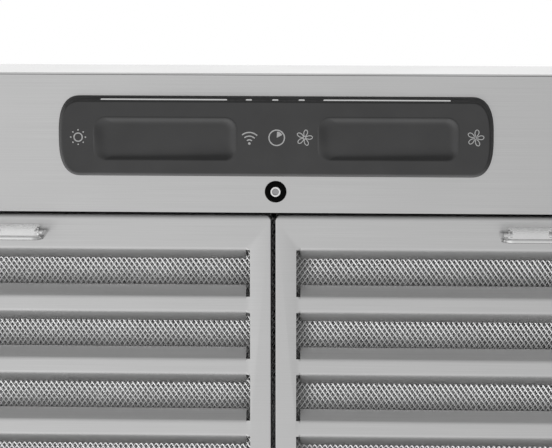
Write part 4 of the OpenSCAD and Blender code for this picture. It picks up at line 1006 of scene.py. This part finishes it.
def make_floor():
    """A light grey floor far below, white to the camera, with a painted pool of light on it that shows only
    in reflections.
    """
    mesh = bpy.data.meshes.new("floor")
    corners = [(i * FLOOR_HALF, j * FLOOR_HALF, FLOOR_Z) for i, j in ((-1, -1), (1, -1), (1, 1), (-1, 1))]
    mesh.from_pydata(corners, [], [(0, 1, 2, 3)])
    floor = bpy.data.objects.new("floor", mesh)
    bpy.context.scene.collection.objects.link(floor)
    paint = Finish("floor", (0.82, 0.82, 0.82), 0.9, specular=0.0)
    paint.vary_colour(paint.noise(paint.place((1, 1, 1)), 0.4, 1), 0.01)
    paint.set("Emission Color", (1, 1, 1, 1))
    # Painted pool of light: a round glow on the floor, weaker towards the right, that shows only in
    # reflections
    pool = paint.node("ShaderNodeTexGradient", gradient_type="SPHERICAL")
    spot = paint.place((1 / POOL_R, 1 / POOL_R, 0))
    spot.node.inputs["Location"].default_value = (-POOL_MIDDLE[0] / POOL_R, -POOL_MIDDLE[1] / POOL_R, 0)
    paint.link(spot, pool.inputs["Vector"])
    across = paint.node("ShaderNodeSeparateXYZ")
    paint.link(paint.place((1, 1, 1)), across.inputs["Vector"])
    sides = paint.map_range(across.outputs["X"], -POOL_SIDES, POOL_SIDES, 1, POOL_RIGHT_SHARE)
    painted_pool_glow = paint.times(paint.times(pool.outputs["Fac"], sides), POOL_LIFT)
    path = paint.node("ShaderNodeLightPath")
    lift = paint.node("ShaderNodeMix")
    paint.link(path.outputs["Is Camera Ray"], lift.inputs[0])
    paint.link(painted_pool_glow, lift.inputs[2])
    lift.inputs[3].default_value = FLOOR_LIFT
    glow = paint.times(lift.outputs[0], seen_directly(paint.tree))
    paint.link(glow, paint.shader.inputs["Emission Strength"])
    mesh.materials.append(paint.material)


def make_surround():
    """A surround that is white where it is seen, and gives less light than that."""
    world = bpy.data.worlds.new("surround")
    bpy.context.scene.world = world
    world.use_nodes = True
    tree = world.node_tree
    background = tree.nodes["Background"]
    background.inputs["Color"].default_value = (1, 1, 1, 1)
    strength = tree.nodes.new("ShaderNodeMapRange")
    strength.inputs["To Min"].default_value = SURROUND_LIGHT
    strength.inputs["To Max"].default_value = 1.0
    tree.links.new(seen_directly(tree), strength.inputs["Value"])
    tree.links.new(strength.outputs["Result"], background.inputs["Strength"])


def make_soft_lamps():
    """Soft lamps, of which only the large one shows in reflections."""
    for name, place, size, power in LAMPS:
        light = bpy.data.lights.new(name, "AREA")
        light.size = size
        light.energy = power
        lamp = bpy.data.objects.new(name, light)
        lamp.location = place
        lamp.rotation_mode = "QUATERNION"
        lamp.rotation_quaternion = (LAMP_AIM - Vector(place)).to_track_quat("-Z", "Y")
        lamp.visible_camera = False
        lamp.visible_glossy = name == "fill"
        bpy.context.scene.collection.objects.link(lamp)


def make_camera():
    """The camera that was matched to the photograph."""
    data = bpy.data.cameras.new("photograph")
    data.lens = LENS
    data.sensor_width = SENSOR
    data.clip_start, data.clip_end = CAMERA_RANGE
    camera = bpy.data.objects.new("photograph", data)
    camera.matrix_world = camera_matrix()
    bpy.context.scene.collection.objects.link(camera)
    bpy.context.scene.camera = camera


bpy.context.scene.view_settings.view_transform = "Standard"
finishes = make_finishes()
make_camera()
make_floor()
make_surround()
make_soft_lamps()
dress_nodes()
make_pod()
make_light_guides()
make_signs()
for side in ("left", "right"):
    make_filter_face(side)
    make_filter_mesh(side)
make_sensor()
make_lamps()
